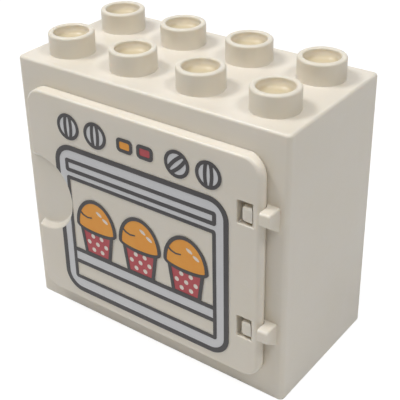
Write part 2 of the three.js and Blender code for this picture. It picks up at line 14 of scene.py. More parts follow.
import bmesh
import bpy
from mathutils import Matrix, Vector
from mathutils.geometry import delaunay_2d_cdt


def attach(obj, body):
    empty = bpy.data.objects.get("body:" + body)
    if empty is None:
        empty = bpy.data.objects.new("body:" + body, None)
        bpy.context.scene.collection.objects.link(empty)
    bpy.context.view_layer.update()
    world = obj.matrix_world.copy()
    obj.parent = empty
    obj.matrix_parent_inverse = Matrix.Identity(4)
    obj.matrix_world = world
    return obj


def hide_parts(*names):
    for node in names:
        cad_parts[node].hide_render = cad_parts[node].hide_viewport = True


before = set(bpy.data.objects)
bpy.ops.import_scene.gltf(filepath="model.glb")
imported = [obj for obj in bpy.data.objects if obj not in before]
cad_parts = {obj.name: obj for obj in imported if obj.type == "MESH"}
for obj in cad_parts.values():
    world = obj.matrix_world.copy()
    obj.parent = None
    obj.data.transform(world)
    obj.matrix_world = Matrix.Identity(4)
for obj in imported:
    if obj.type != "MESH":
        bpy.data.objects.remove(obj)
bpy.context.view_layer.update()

MM = 0.001
SAME_POINT = 1e-5

Triple = tuple[float, float, float]
Colour = Triple
Point = tuple[float, float]
Outline = list[Point]
Ring = list[Vector]

WHITE: Colour = (1.0, 1.0, 1.0)

log = logging.getLogger("toy_oven")


class Body(Enum):
    """The two mouldings that move against each other."""

    CABINET = "cabinet"
    DOOR = "door"


class Slot(Enum):
    """The record's material slots."""

    PLASTIC = "plastic"
    GREY = "ink_grey"
    BLACK = "ink_black"
    ORANGE = "ink_orange"
    RED = "ink_red"
    WHITE = "ink_white"


class Axis(Enum):
    """The direction that a solid's rings follow each other in."""

    UP = "up"
    BACK = "back"
    RIGHT = "right"

    def point(self, across: float, along: float, depth: float) -> Vector:
        """A ring's point as X, Y and Z.

        Args:
            across: Its first coordinate in the outline.
            along: Its second coordinate in the outline.
            depth: Its place on this axis.

        Returns:
            The point.
        """
        if self is Axis.UP:
            return Vector((across, along, depth))
        if self is Axis.BACK:
            return Vector((across, depth, along))
        return Vector((depth, across, along))


class InkLayer(Enum):
    """The print's three layers, counted from the door's face."""

    GROUND = 0
    MIDDLE = 1
    TOP = 2


@dataclass(frozen=True)
class BrickGrid:
    """The stud grid, the cabinet's overall size and the sizes that its parts share, in millimetres.

    The cabinet stands a little behind the origin, because the hinge jaws reach forward of it.
    """

    pitch: float = 16.0
    columns: int = 4
    rows: int = 2
    brick_height: float = 19.2
    brick_count: int = 3
    neighbour_gap: float = 0.2
    middle_y: float = 1.75
    wall: float = 1.6
    grip_depth: float = 9.2
    stud_radius: float = 4.675
    stud_height: float = 4.4

    @property
    def half_width(self) -> float:
        """Half of the cabinet's width."""
        return (self.columns * self.pitch - self.neighbour_gap) / 2

    @property
    def half_depth(self) -> float:
        """Half of the cabinet's depth."""
        return (self.rows * self.pitch - self.neighbour_gap) / 2

    @property
    def height(self) -> float:
        """The cabinet's height without its studs."""
        return self.brick_height * self.brick_count

    @property
    def front(self) -> float:
        """Y of the front wall's face."""
        return self.middle_y - self.half_depth

    @property
    def back(self) -> float:
        """Y of the back wall's face."""
        return self.middle_y + self.half_depth


@dataclass(frozen=True)
class DoorPlan:
    """Where the door hangs on the cabinet's front, in millimetres."""

    grid: BrickGrid = BrickGrid()
    thickness: float = 2.35
    gap: float = 0.15
    left_margin: float = 3.85
    hinge_margin: float = 3.8
    end_margin: float = 4.9
    hinge_spacing: float = 25.2
    window_height: float = 4.8

    @property
    def left(self) -> float:
        """X of the door's free edge."""
        return self.left_margin - self.grid.half_width

    @property
    def right(self) -> float:
        """X of the outside of the hinge bar."""
        return self.grid.half_width - self.hinge_margin

    @property
    def foot(self) -> float:
        """Z of the door's lower edge."""
        return self.end_margin

    @property
    def top(self) -> float:
        """Z of the door's upper edge."""
        return self.grid.height - self.end_margin

    @property
    def middle(self) -> Point:
        """X and Z of the door's middle."""
        return (self.left + self.right) / 2, (self.foot + self.top) / 2

    @property
    def back(self) -> float:
        """Y of the door's back face."""
        return self.grid.front - self.gap

    @property
    def front(self) -> float:
        """Y of the door's front face."""
        return self.back - self.thickness

    @property
    def bar_radius(self) -> float:
        """Radius of the round hinge bar that ends the door on its right."""
        return self.thickness / 2

    @property
    def hinge(self) -> Point:
        """X and Y of the hinge bar's middle."""
        return self.right - self.bar_radius, self.back - self.bar_radius

    @property
    def hinge_heights(self) -> tuple[float, float]:
        """Z of the middle of each hinge."""
        middle = self.middle[1]
        return middle - self.hinge_spacing / 2, middle + self.hinge_spacing / 2


def arc(centre: Point, radius_x: float, radius_y: float, start: float, end: float, steps: int) -> Outline:
    """Points on part of an ellipse, with both ends.

    Args:
        centre: The ellipse's middle.
        radius_x: Half of its width.
        radius_y: Half of its height.
        start: Angle of the first point, in degrees.
        end: Angle of the last point, in degrees.
        steps: Number of equal steps between them.

    Returns:
        The points in order.
    """
    points = []
    for step in range(steps + 1):
        angle = math.radians(start + (end - start) * step / steps)
        points.append((centre[0] + radius_x * math.cos(angle), centre[1] + radius_y * math.sin(angle)))
    return points


def ellipse(centre: Point, radius_x: float, radius_y: float, sides: int) -> Outline:
    """A closed ellipse, counter-clockwise."""
    return arc(centre, radius_x, radius_y, 0, 360, sides)[:-1]


@dataclass(frozen=True)
class SoftRectangle:
    """A rectangle with round corners, whose sides can be drawn in one by one."""

    left: float
    right: float
    foot: float
    top: float
    radius: float
    steps: int = 8

    def drawn_in(self, left_in: float, right_in: float, end_in: float) -> Outline:
        """The outline with its sides drawn in, or let out by a negative distance.

        Args:
            left_in: How far the left side comes in.
            right_in: How far the right side comes in.
            end_in: How far the foot and the top come in.

        Returns:
            The outline, counter-clockwise, with the same number of points for any distances.
        """
        radius = self.radius
        height = radius - end_in
        right_x = self.right - radius
        left_x = self.left + radius
        top_y = self.top - radius
        foot_y = self.foot + radius
        return [
            *arc((right_x, top_y), radius - right_in, height, 0, 90, self.steps),
            *arc((left_x, top_y), radius - left_in, height, 90, 180, self.steps),
            *arc((left_x, foot_y), radius - left_in, height, 180, 270, self.steps),
            *arc((right_x, foot_y), radius - right_in, height, 270, 360, self.steps),
        ]

    def inset(self, distance: float) -> Outline:
        """The outline with every side drawn in by one distance."""
        return self.drawn_in(distance, distance, distance)


def inset(points: Outline, distance: float, least_mitre: float = 0.3) -> Outline:
    """A counter-clockwise outline with every edge moved inwards.

    Args:
        points: The closed outline.
        distance: How far each edge moves in, or out where it is negative.
        least_mitre: Limits how far a very sharp corner moves.

    Returns:
        The moved outline, with as many points.
    """
    moved = []
    count = len(points)
    for index, point in enumerate(points):
        here = Vector(point)
        edge_in = (here - Vector(points[index - 1])).normalized()
        edge_out = (Vector(points[(index + 1) % count]) - here).normalized()
        normal_in = Vector((-edge_in.y, edge_in.x))
        normal_out = Vector((-edge_out.y, edge_out.x))
        mitre = (normal_in + normal_out).normalized()
        moved.append(tuple(here + mitre * (distance / max(mitre.dot(normal_out), least_mitre))))
    return moved


def round_corners(points: Outline, radius: float, steps: int = 6) -> Outline:
    """An outline with every corner replaced by a tangent arc.

    Args:
        points: The closed outline, counter-clockwise and bulging.
        radius: The arcs' radius.
        steps: Steps in each arc.

    Returns:
        The rounded outline.
    """
    rounded = []
    count = len(points)
    for index, point in enumerate(points):
        here = Vector(point)
        back = (Vector(points[index - 1]) - here).normalized()
        ahead = (Vector(points[(index + 1) % count]) - here).normalized()
        half_angle = back.angle(ahead) / 2
        centre = here + (back + ahead).normalized() * (radius / math.sin(half_angle))
        reach = radius / math.tan(half_angle)
        first = here + back * reach - centre
        last = here + ahead * reach - centre
        start = math.degrees(math.atan2(first.y, first.x))
        turn = math.degrees(math.atan2(first.cross(last), first.dot(last)))
        rounded += arc(tuple(centre), radius, radius, start, start + turn, steps)
    return rounded


def stroke(points: Outline, start_width: float, end_width: float, cap_steps: int = 6) -> Outline:
    """The outline of one pen stroke with round ends.

    Args:
        points: The stroke's middle line.
        start_width: Width at its first point.
        end_width: Width at its last point.
        cap_steps: Steps round each end.

    Returns:
        The closed outline, counter-clockwise.
    """
    right_side = []
    left_side = []
    last = len(points) - 1
    for index, point in enumerate(points):
        here = Vector(point)
        along = (Vector(points[min(index + 1, last)]) - Vector(points[max(index - 1, 0)])).normalized()
        half = (start_width + (end_width - start_width) * index / last) / 2
        across = Vector((along.y, -along.x)) * half
        right_side.append(tuple(here + across))
        left_side.append(tuple(here - across))
    angles = []
    for first, second in ((points[0], points[1]), (points[-2], points[-1])):
        angles.append(math.degrees(math.atan2(second[1] - first[1], second[0] - first[0])))
    end_cap = arc(points[-1], end_width / 2, end_width / 2, angles[1] - 90, angles[1] + 90, cap_steps)
    start_cap = arc(points[0], start_width / 2, start_width / 2, angles[0] + 90, angles[0] + 270, cap_steps)
    return [*right_side[1:-1], *end_cap, *reversed(left_side[1:-1]), *start_cap]


def rim_steps(radius: float, steps: int) -> list[Point]:
    """The quarter-round profile of a rim.

    Args:
        radius: The rim's radius.
        steps: Steps in the quarter.

    Returns:
        Pairs of how far the outline is drawn in and how deep that is below the face, from the face down.
    """
    profile = []
    for step in range(steps + 1):
        angle = math.pi / 2 * step / steps
        profile.append((radius * (1 - math.sin(angle)), radius * (1 - math.cos(angle))))
    return profile


def flared_profile(low: float, high: float, edge: float, steps: int, reach: float) -> list[Point]:
    """The profile of a tool that cuts through a wall and rounds both rims of the hole.

    Args:
        low: Where the wall starts.
        high: Where it ends.
        edge: The rims' radius.
        steps: Steps in each rim.
        reach: How far the tool stands out of the wall.

    Returns:
        Pairs of how far the outline is drawn in and where along the cut that is.
    """
    rim = rim_steps(edge, steps)
    return [
        (-edge, low - reach),
        *[(-drawn, low + deep) for drawn, deep in rim],
        *[(-drawn, high - deep) for drawn, deep in reversed(rim)],
        (-edge, high + reach),
    ]


def new_object(name: str, mesh: bpy.types.Mesh) -> bpy.types.Object:
    """An object in the scene that shows one mesh.

    Args:
        name: The object's name.
        mesh: Its mesh.

    Returns:
        The object.
    """
    piece = bpy.data.objects.new(name, mesh)
    bpy.context.scene.collection.objects.link(piece)
    return piece


def solid_from(name: str, shape: bmesh.types.BMesh) -> bpy.types.Object:
    """A closed mesh in metres as an object, with its faces turned outwards.

    Args:
        name: The object's name.
        shape: The mesh in millimetres, which is freed.

    Returns:
        The object, at the origin.
    """
    bmesh.ops.remove_doubles(shape, verts=shape.verts, dist=SAME_POINT)
    bmesh.ops.recalc_face_normals(shape, faces=shape.faces)
    bmesh.ops.transform(shape, matrix=Matrix.Scale(MM, 4), verts=shape.verts)
    mesh = bpy.data.meshes.new(name)
    shape.to_mesh(mesh)
    shape.free()
    return new_object(name, mesh)


def loft(name: str, rings: list[Ring]) -> bpy.types.Object:
    """A closed solid through rings of points, with a flat face on the first and the last.

    Args:
        name: The object's name.
        rings: Rings with the same number of points, in millimetres.

    Returns:
        The object.
    """
    shape = bmesh.new()
    loops = [[shape.verts.new(point) for point in ring] for ring in rings]
    for lower, upper in zip(loops, loops[1:]):
        for index in range(len(lower)):
            ahead = (index + 1) % len(lower)
            shape.faces.new((lower[index], lower[ahead], upper[ahead], upper[index]))
    shape.faces.new(loops[0])
    shape.faces.new(loops[-1])
    return solid_from(name, shape)


def swept(
    name: str, axis: Axis, profile: list[Point], outline_at: Callable[[float], Outline]
) -> bpy.types.Object:
    """A closed solid of an outline that grows or shrinks along an axis.

    Args:
        name: The object's name.
        axis: The direction that the profile follows.
        profile: Pairs of how far the outline is drawn in and where on the axis that is.
        outline_at: Gives the outline that is drawn in by a distance.

    Returns:
        The object.
    """
    rings = []
    for drawn, depth in profile:
        rings.append([axis.point(across, along, depth) for across, along in outline_at(drawn)])
    return loft(name, rings)


def slab(
    name: str, outline: Outline, axis: Axis, low: float, high: float, low_rim: float, high_rim: float,
    steps: int = 4,
) -> bpy.types.Object:
    """A slab of an outline with round rims.

    Args:
        name: The object's name.
        outline: The outline across the slab, counter-clockwise.
        axis: The direction that the slab's thickness follows.
        low: Where the slab starts on that axis.
        high: Where it ends.
        low_rim: Radius of the rim at its start.
        high_rim: Radius of the rim at its end.
        steps: Steps in each rim.

    Returns:
        The object.
    """
    levels = []
    for start, way, radius in ((low, 1, low_rim), (high, -1, high_rim)):
        rim = [(drawn, start + way * deep) for drawn, deep in rim_steps(radius, steps)]
        levels.append(rim if radius else [(0.0, start)])
    profile = levels[0] + list(reversed(levels[1]))
    return swept(name, axis, profile, lambda drawn: inset(outline, drawn))


def turned(name: str, profile: Outline, sides: int, closed: bool) -> bpy.types.Object:
    """A solid of revolution round the Z axis.

    Args:
        name: The object's name.
        profile: Pairs of radius and height.
        sides: Number of sides round the axis.
        closed: True where the profile is a closed loop, and False where it runs from axis to axis.

    Returns:
        The object.
    """
    shape = bmesh.new()
    columns = []
    for side in range(sides):
        angle = math.tau * side / sides
        columns.append([
            shape.verts.new((radius * math.cos(angle), radius * math.sin(angle), height))
            for radius, height in profile
        ])
    steps = len(profile) if closed else len(profile) - 1
    for side in range(sides):
        here = columns[side]
        beside = columns[(side + 1) % sides]
        for step in range(steps):
            above = (step + 1) % len(profile)
            shape.faces.new((here[step], beside[step], beside[above], here[above]))
    return solid_from(name, shape)


def plain_mesh(piece: bpy.types.Object) -> bpy.types.Object:
    """The object with its modifiers' result as its own mesh, and no modifiers.

    Args:
        piece: The object.

    Returns:
        The same object.
    """
    depsgraph = bpy.context.evaluated_depsgraph_get()
    made = bpy.data.meshes.new_from_object(piece.evaluated_get(depsgraph), depsgraph=depsgraph)
    piece.modifiers.clear()
    piece.data = made
    made.name = piece.name
    return piece


def carved(piece: bpy.types.Object, tools: list[bpy.types.Object], operation: str = "DIFFERENCE") -> None:
    """Cuts or joins tools with a piece, and removes the tools.

    Args:
        piece: The object whose mesh changes.
        tools: The closed solids to apply to it.
        operation: The name of Blender's Boolean operation.
    """
    for tool in tools:
        cut = piece.modifiers.new("cut", "BOOLEAN")
        cut.operation = operation
        cut.solver = "EXACT"
        cut.object = tool
    plain_mesh(piece)
    for tool in tools:
        bpy.data.objects.remove(tool)


def soften(
    piece: bpy.types.Object, sharp_angle: float = 35.0, flat_weight: int = 60
) -> bpy.types.Object:
    """Smooth shading up to an angle, with the large flat faces kept flat.

    Args:
        piece: The finished mesh.
        sharp_angle: The angle in degrees from which an edge stays sharp.
        flat_weight: How strongly the larger face decides the shading beside it.

    Returns:
        The same object.
    """
    piece.data.shade_smooth()
    piece.data.set_sharp_from_angle(angle=math.radians(sharp_angle))
    weighted = piece.modifiers.new("weighted", "WEIGHTED_NORMAL")
    weighted.keep_sharp = True
    weighted.weight = flat_weight
    return plain_mesh(piece)


def place(
    piece: bpy.types.Object, body: Body, slot: Slot, nodes: list[str], finish: bpy.types.Material
) -> bpy.types.Object:
    """Gives a piece its finish and its place in the frame.

    Args:
        piece: The finished object.
        body: The body that it moves with.
        slot: The record's material slot; not used.
        nodes: The CAD nodes that it stands for.
        finish: Its material.

    Returns:
        The same object.
    """
    piece.data.materials.clear()
    piece.data.materials.append(finish)
    piece.data.polygons.foreach_set("material_index", [0] * len(piece.data.polygons))
    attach(piece, body.value)
    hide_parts(*nodes)
    log.info("%s rides on %s and stands for %s", piece.name, body.value, ", ".join(nodes))
    return piece


class NodeTree:
    """A node tree, with short calls that add and join its nodes."""

    def __init__(self, tree: bpy.types.NodeTree) -> None:
        """Starts with the tree emptied.

        Args:
            tree: The tree of a material, the world or a geometry group.
        """
        self.tree = tree
        self.tree.nodes.clear()

    def add(
        self, kind: str, inputs: dict[str | int, object] | None = None, **settings: object
    ) -> bpy.types.Node:
        """A new node.

        Args:
            kind: The node's type.
            inputs: What its inputs get, by name or number: a value, or an output to link.
            **settings: Properties of the node itself.

        Returns:
            The node.
        """
        node = self.tree.nodes.new(kind)
        for name, value in settings.items():
            setattr(node, name, value)
        for key, value in (inputs or {}).items():
            if isinstance(value, bpy.types.NodeSocket):
                self.tree.links.new(value, node.inputs[key])
            else:
                node.inputs[key].default_value = value
        return node

    def maths(
        self, operation: str, first: bpy.types.NodeSocket, second: bpy.types.NodeSocket | float
    ) -> bpy.types.NodeSocket:
        """The result of an operation on an output and a second output or a number."""
        return self.add("ShaderNodeMath", {0: first, 1: second}, operation=operation).outputs[0]


def opaque(colour: Colour) -> tuple[float, float, float, float]:
    """A colour with full alpha, as colour sockets take it."""
    return (*colour, 1.0)


class ShaderSheet(NodeTree):
    """The node tree of a material or of the world."""

    grain_span: Point = (0.3, 0.75)

    def __init__(self, owner: bpy.types.Material | bpy.types.World) -> None:
        """Starts an empty tree.

        Args:
            owner: The material or the world.
        """
        owner.use_nodes = True
        super().__init__(owner.node_tree)
        self.owner = owner

    def noise(self, where: bpy.types.NodeSocket, size: float, detail: float) -> bpy.types.NodeSocket:
        """Soft random clouds, from 0 to 1.

        Args:
            where: The coordinates.
            size: Rough size of one cloud in millimetres.
            detail: How many finer levels it has.

        Returns:
            The noise's value.
        """
        inputs = {"Vector": where, "Scale": 1 / (size * MM), "Detail": detail}
        return self.add("ShaderNodeTexNoise", inputs).outputs["Fac"]

    def ranged(self, value: bpy.types.NodeSocket, span: Point, target: Point) -> bpy.types.NodeSocket:
        """A value moved from one range to another and kept inside it.

        Args:
            value: The value.
            span: Start and end of its range.
            target: Start and end of the new range.

        Returns:
            The new value.
        """
        return self.add("ShaderNodeMapRange", {
            "Value": value,
            "From Min": span[0],
            "From Max": span[1],
            "To Min": target[0],
            "To Max": target[1],
        }).outputs["Result"]

    def blended(
        self, share: bpy.types.NodeSocket, first: Colour | bpy.types.NodeSocket, second: Colour
    ) -> bpy.types.NodeSocket:
        """Two colours mixed by a share that changes over the surface.

        Args:
            share: 0 for the first colour and 1 for the second.
            first: A colour or an output.
            second: A colour.

        Returns:
            The mixed colour.
        """
        start = opaque(first) if isinstance(first, tuple) else first
        inputs = {"Factor": share, 6: start, 7: opaque(second)}
        return self.add("ShaderNodeMix", inputs, data_type="RGBA").outputs[2]

    def tinted(
        self, tone: Colour | bpy.types.NodeSocket, colour: Colour, cause: bpy.types.NodeSocket, span: Point,
        most: float,
    ) -> bpy.types.NodeSocket:
        """A tone that moves towards a colour where something rises over the surface.

        Args:
            tone: The tone, as a colour or an output.
            colour: The colour that it moves towards.
            cause: What rises, such as a noise.
            span: The values of the cause at which the change starts and is complete.
            most: The colour's share where the change is complete.

        Returns:
            The new tone.
        """
        return self.blended(self.ranged(cause, span, (0.0, most)), tone, colour)

    def finished(
        self, tone: bpy.types.NodeSocket, grain: bpy.types.NodeSocket, roughness: Point, relief: Point,
        body: dict[str, object],
    ) -> bpy.types.Material:
        """Ends the tree with a shader whose gloss and fine relief follow the grain.

        Args:
            tone: The surface's colour.
            grain: Fine noise, from 0 to 1.
            roughness: Roughness where the grain is low and where it is high.
            relief: The relief's strength and its depth in millimetres.
            body: The shader's other values, by input name.

        Returns:
            The material.
        """
        strength, depth = relief
        bump = self.add("ShaderNodeBump", {"Height": grain, "Strength": strength, "Distance": depth * MM})
        shader = self.add("ShaderNodeBsdfPrincipled", {
            "Base Color": tone,
            "Roughness": self.ranged(grain, self.grain_span, roughness),
            "Normal": bump.outputs["Normal"],
            **body,
        })
        self.add("ShaderNodeOutputMaterial", {"Surface": shader.outputs["BSDF"]})
        return self.owner

    def seen_or_lit(
        self, seen: bpy.types.NodeSocket, real: bpy.types.NodeSocket
    ) -> bpy.types.NodeSocket:
        """One shader for what the camera, gloss and glass look at, and another for light on other surfaces.

        Args:
            seen: The shader that is looked at.
            real: The shader that lights other surfaces.

        Returns:
            The mixed shader.
        """
        rays = self.add("ShaderNodeLightPath")
        share = rays.outputs["Is Camera Ray"]
        for name in ("Is Glossy Ray", "Is Transmission Ray"):
            share = self.maths("MAXIMUM", share, rays.outputs[name])
        return self.add("ShaderNodeMixShader", {0: share, 1: real, 2: seen}).outputs[0]


@dataclass(frozen=True)
class MouldedPlastic:
    """Warm off-white moulded plastic: softly glossy, faintly mottled and finely scuffed by play, with a
    painted warm glow on the studs and painted shade in their hollows.

    A span gives the noise values at which a tint starts and is complete, and a share how strong it gets.
    Sizes are in millimetres.
    """

    name: str = "moulded_plastic"
    grid: BrickGrid = BrickGrid()
    colour: Colour = (0.80, 0.743, 0.65)
    # the mottle's deeper tone, which also serves as the painted warm glow on the studs
    mottle_and_glow_colour: Colour = (0.775, 0.715, 0.60)
    worn_colour: Colour = (0.83, 0.78, 0.71)
    # painted shade: a dark warm colour that stands in for the shade and warm bounce light near the floors
    # of the stud hollows
    hollow_shade_colour: Colour = (0.62, 0.53, 0.36)
    roughness: Point = (0.30, 0.42)
    cloud_size: float = 14.0
    cloud_span: Point = (0.35, 0.7)
    cloud_share: float = 0.55
    scuff_size: float = 0.75
    scuff_stretch: Triple = (0.22, 1.0, 0.8)
    scuff_turn: Triple = (0.3, 0.5, 0.9)
    scuff_span: Point = (0.62, 0.78)
    scuff_share: float = 0.5
    # how strongly the painted warm glow, standing in for light through the thin walls, tints the studs
    stud_glow_share: float = 0.75
    stud_glow_foot: float = 1.0
    # where the painted shade in the stud hollows lies
    hollow_shade_radius: float = 3.5
    hollow_shade_blur: Point = (0.9, 1.02)
    hollow_shade_depths: Point = (1.3, 0.3)
    grain_size: float = 0.9
    relief: Point = (0.08, 0.05)
    refraction: float = 1.5
    glow_weight: float = 0.3
    glow_reach: Triple = (1.4, 1.2, 0.9)

    def painted_glow_and_shade(
        self, sheet: ShaderSheet, where: bpy.types.NodeSocket
    ) -> tuple[bpy.types.NodeSocket, bpy.types.NodeSocket]:
        """Where the studs and their hollows lie, for the painted warm glow on the studs and the painted
        shade in their hollows.

        Space is folded about the stud grid, so that every stud's middle comes to the same point.

        Args:
            sheet: The material's node tree.
            where: The coordinates.

        Returns:
            A share that is 1 on the studs, for the painted glow, and one that is 1 near the floors of their
            hollows, for the painted shade.
        """
        pitch = self.grid.pitch
        half_cell = 0.5
        cells = sheet.add("ShaderNodeMapping", {
            "Vector": where,
            "Scale": (1 / (pitch * MM), 1 / (pitch * MM), 1 / MM),
            "Location": (half_cell, half_cell - self.grid.middle_y / pitch, 0.0),
        })
        parts = sheet.add("ShaderNodeSeparateXYZ", {"Vector": cells.outputs["Vector"]})
        folded = {name: sheet.maths("PINGPONG", parts.outputs[name], half_cell) for name in ("X", "Y")}
        flat = sheet.add("ShaderNodeCombineXYZ", folded)
        away = sheet.add("ShaderNodeVectorMath", {0: flat.outputs["Vector"]}, operation="LENGTH")
        height = parts.outputs["Z"]
        plate = self.grid.height
        top = plate + self.grid.stud_height
        rim = [self.hollow_shade_radius / pitch * share for share in self.hollow_shade_blur]
        near = sheet.ranged(away.outputs["Value"], (rim[0], rim[1]), (1.0, 0.0))
        deep = sheet.ranged(height, (top - self.hollow_shade_depths[0], top - self.hollow_shade_depths[1]), (1.0, 0.0))
        above = sheet.ranged(height, (plate, plate + self.stud_glow_foot), (0.0, 1.0))
        hollow = sheet.maths("MULTIPLY", sheet.maths("MULTIPLY", near, deep), above)
        return above, hollow

    def build(self) -> bpy.types.Material:
        """The finish as a material.

        Returns:
            The material.
        """
        sheet = ShaderSheet(bpy.data.materials.new(self.name))
        where = sheet.add("ShaderNodeTexCoord").outputs["Object"]
        stretched = sheet.add("ShaderNodeMapping", {
            "Vector": where, "Scale": self.scuff_stretch, "Rotation": self.scuff_turn,
        })
        clouds = sheet.noise(where, self.cloud_size, detail=3.0)
        grain = sheet.noise(where, self.grain_size, detail=4.0)
        scuffs = sheet.noise(stretched.outputs["Vector"], self.scuff_size, detail=6.0)
        stud, hollow = self.painted_glow_and_shade(sheet, where)
        tone = sheet.tinted(self.colour, self.mottle_and_glow_colour, clouds, self.cloud_span, self.cloud_share)
        tone = sheet.tinted(tone, self.worn_colour, scuffs, self.scuff_span, self.scuff_share)
        # painted glow: the studs are warmed towards the deeper tone, standing in for light that passes
        # through their thin walls
        tone = sheet.tinted(tone, self.mottle_and_glow_colour, stud, (0.0, 1.0), self.stud_glow_share)
        # painted shade: near the hollows' floors the colour goes dark and yellow, standing in for their
        # shade and warm bounce light
        tone = sheet.blended(hollow, tone, self.hollow_shade_colour)
        return sheet.finished(tone, grain, self.roughness, self.relief, {
            "IOR": self.refraction,
            "Subsurface Weight": self.glow_weight,
            "Subsurface Radius": self.glow_reach,
            "Subsurface Scale": MM,
        })


@dataclass(frozen=True)
class PrintedInk:
    """One colour of printed ink: an uneven film with a slightly duller shine than the plastic."""

    name: str
    colour: Colour
    thin_colour: Colour
    roughness: Point = (0.34, 0.5)
    patch_size: float = 3.5
    patch_span: Point = (0.4, 0.75)
    patch_share: float = 0.5
    grain_size: float = 0.25
    grain_span: Point = (0.6, 0.8)
    grain_share: float = 0.6
    relief: Point = (0.1, 0.02)
    refraction: float = 1.48

    def build(self) -> bpy.types.Material:
        """The finish as a material.

        Returns:
            The material.
        """
        sheet = ShaderSheet(bpy.data.materials.new(self.name))
        where = sheet.add("ShaderNodeTexCoord").outputs["Object"]
        patches = sheet.noise(where, self.patch_size, detail=3.0)
        grain = sheet.noise(where, self.grain_size, detail=3.0)
        tone = sheet.tinted(self.colour, self.thin_colour, patches, self.patch_span, self.patch_share)
        tone = sheet.tinted(tone, self.thin_colour, grain, self.grain_span, self.grain_share)
        return sheet.finished(tone, grain, self.roughness, self.relief, {"IOR": self.refraction})


INKS = {
    Slot.GREY: PrintedInk("grey_ink", (0.67, 0.67, 0.685), (0.72, 0.715, 0.72)),
    Slot.BLACK: PrintedInk("black_ink", (0.040, 0.036, 0.038), (0.075, 0.068, 0.068)),
    Slot.ORANGE: PrintedInk("orange_ink", (0.86, 0.34, 0.028), (0.88, 0.42, 0.06)),
    Slot.RED: PrintedInk("red_ink", (0.47, 0.052, 0.066), (0.54, 0.09, 0.10)),
    Slot.WHITE: PrintedInk("white_ink", (0.88, 0.81, 0.74), (0.84, 0.75, 0.66)),
}


@dataclass
class CabinetShell:
    """The hollow shell: four walls, the top plate, the floor plate and the opening behind the door."""

    grid: BrickGrid
    door: DoorPlan
    front_wall: float = 2.0
    top_plate: float = 2.0
    floor_plate: float = 1.8
    corner_radius: float = 1.0
    top_radius: float = 0.6
    foot_radius: float = 0.3
    inside_radius: float = 0.5
    inside_corner: float = 0.6
    opening_side_inset: float = 6.1
    opening_top_inset: float = 5.1
    opening_radius: float = 0.7
    opening_edge: float = 0.35
    reach: float = 2.0

    def outside(self) -> bpy.types.Object:
        """The block that the walls are left from.

        Returns:
            The solid.
        """
        grid = self.grid
        outline = SoftRectangle(-grid.half_width, grid.half_width, grid.front, grid.back,
                                self.corner_radius)
        return slab("cabinet_shell", outline.inset(0), Axis.UP, 0, grid.height, self.foot_radius,
                    self.top_radius, steps=6)

    def oven_space(self) -> bpy.types.Object:
        """The space inside, above the floor plate.

        Returns:
            The solid that is cut away.
        """
        grid = self.grid
        side = grid.half_width - grid.wall
        outline = SoftRectangle(-side, side, grid.front + self.front_wall, grid.back - grid.wall,
                                self.inside_corner)
        return slab("oven_space", outline.inset(0), Axis.UP, grid.grip_depth + self.floor_plate,
                    grid.height - self.top_plate, self.inside_radius, self.inside_radius)

    def grip_space(self) -> bpy.types.Object:
        """The space under the floor plate, flared where it meets the base.

        Returns:
            The solid that is cut away.
        """
        grid = self.grid
        side = grid.half_width - grid.wall
        outline = SoftRectangle(-side, side, grid.front + grid.wall, grid.back - grid.wall,
                                self.inside_corner)
        profile = [(-self.foot_radius, -self.reach)]
        profile += [(-drawn, deep) for drawn, deep in rim_steps(self.foot_radius, steps=4)]
        profile += [(drawn, grid.grip_depth - deep)
                    for drawn, deep in reversed(rim_steps(self.inside_radius, steps=4))]
        return swept("grip_space", Axis.UP, profile, outline.inset)

    def opening(self) -> bpy.types.Object:
        """The doorway's cutting tool, flared on both faces of the front wall.

        Returns:
            The solid that is cut away.
        """
        outline = SoftRectangle(
            self.door.left + self.opening_side_inset, self.door.right - self.opening_side_inset,
            self.grid.grip_depth + self.floor_plate, self.door.top - self.opening_top_inset,
            self.opening_radius,
        )
        wall = self.grid.front
        profile = flared_profile(wall, wall + self.front_wall, self.opening_edge, 5, self.reach)

        def level_at_floor(drawn: float) -> Outline:
            """The flared outline, kept from cutting into the floor plate."""
            return [(x, max(z, outline.foot)) for x, z in outline.inset(drawn)]

        return swept("opening", Axis.BACK, profile, level_at_floor)

    def build(self) -> bpy.types.Object:
        """The carved shell, before anything is joined to it.

        Returns:
            The shell.
        """
        shell = self.outside()
        carved(shell, [self.oven_space(), self.grip_space(), self.opening()])
        return shell


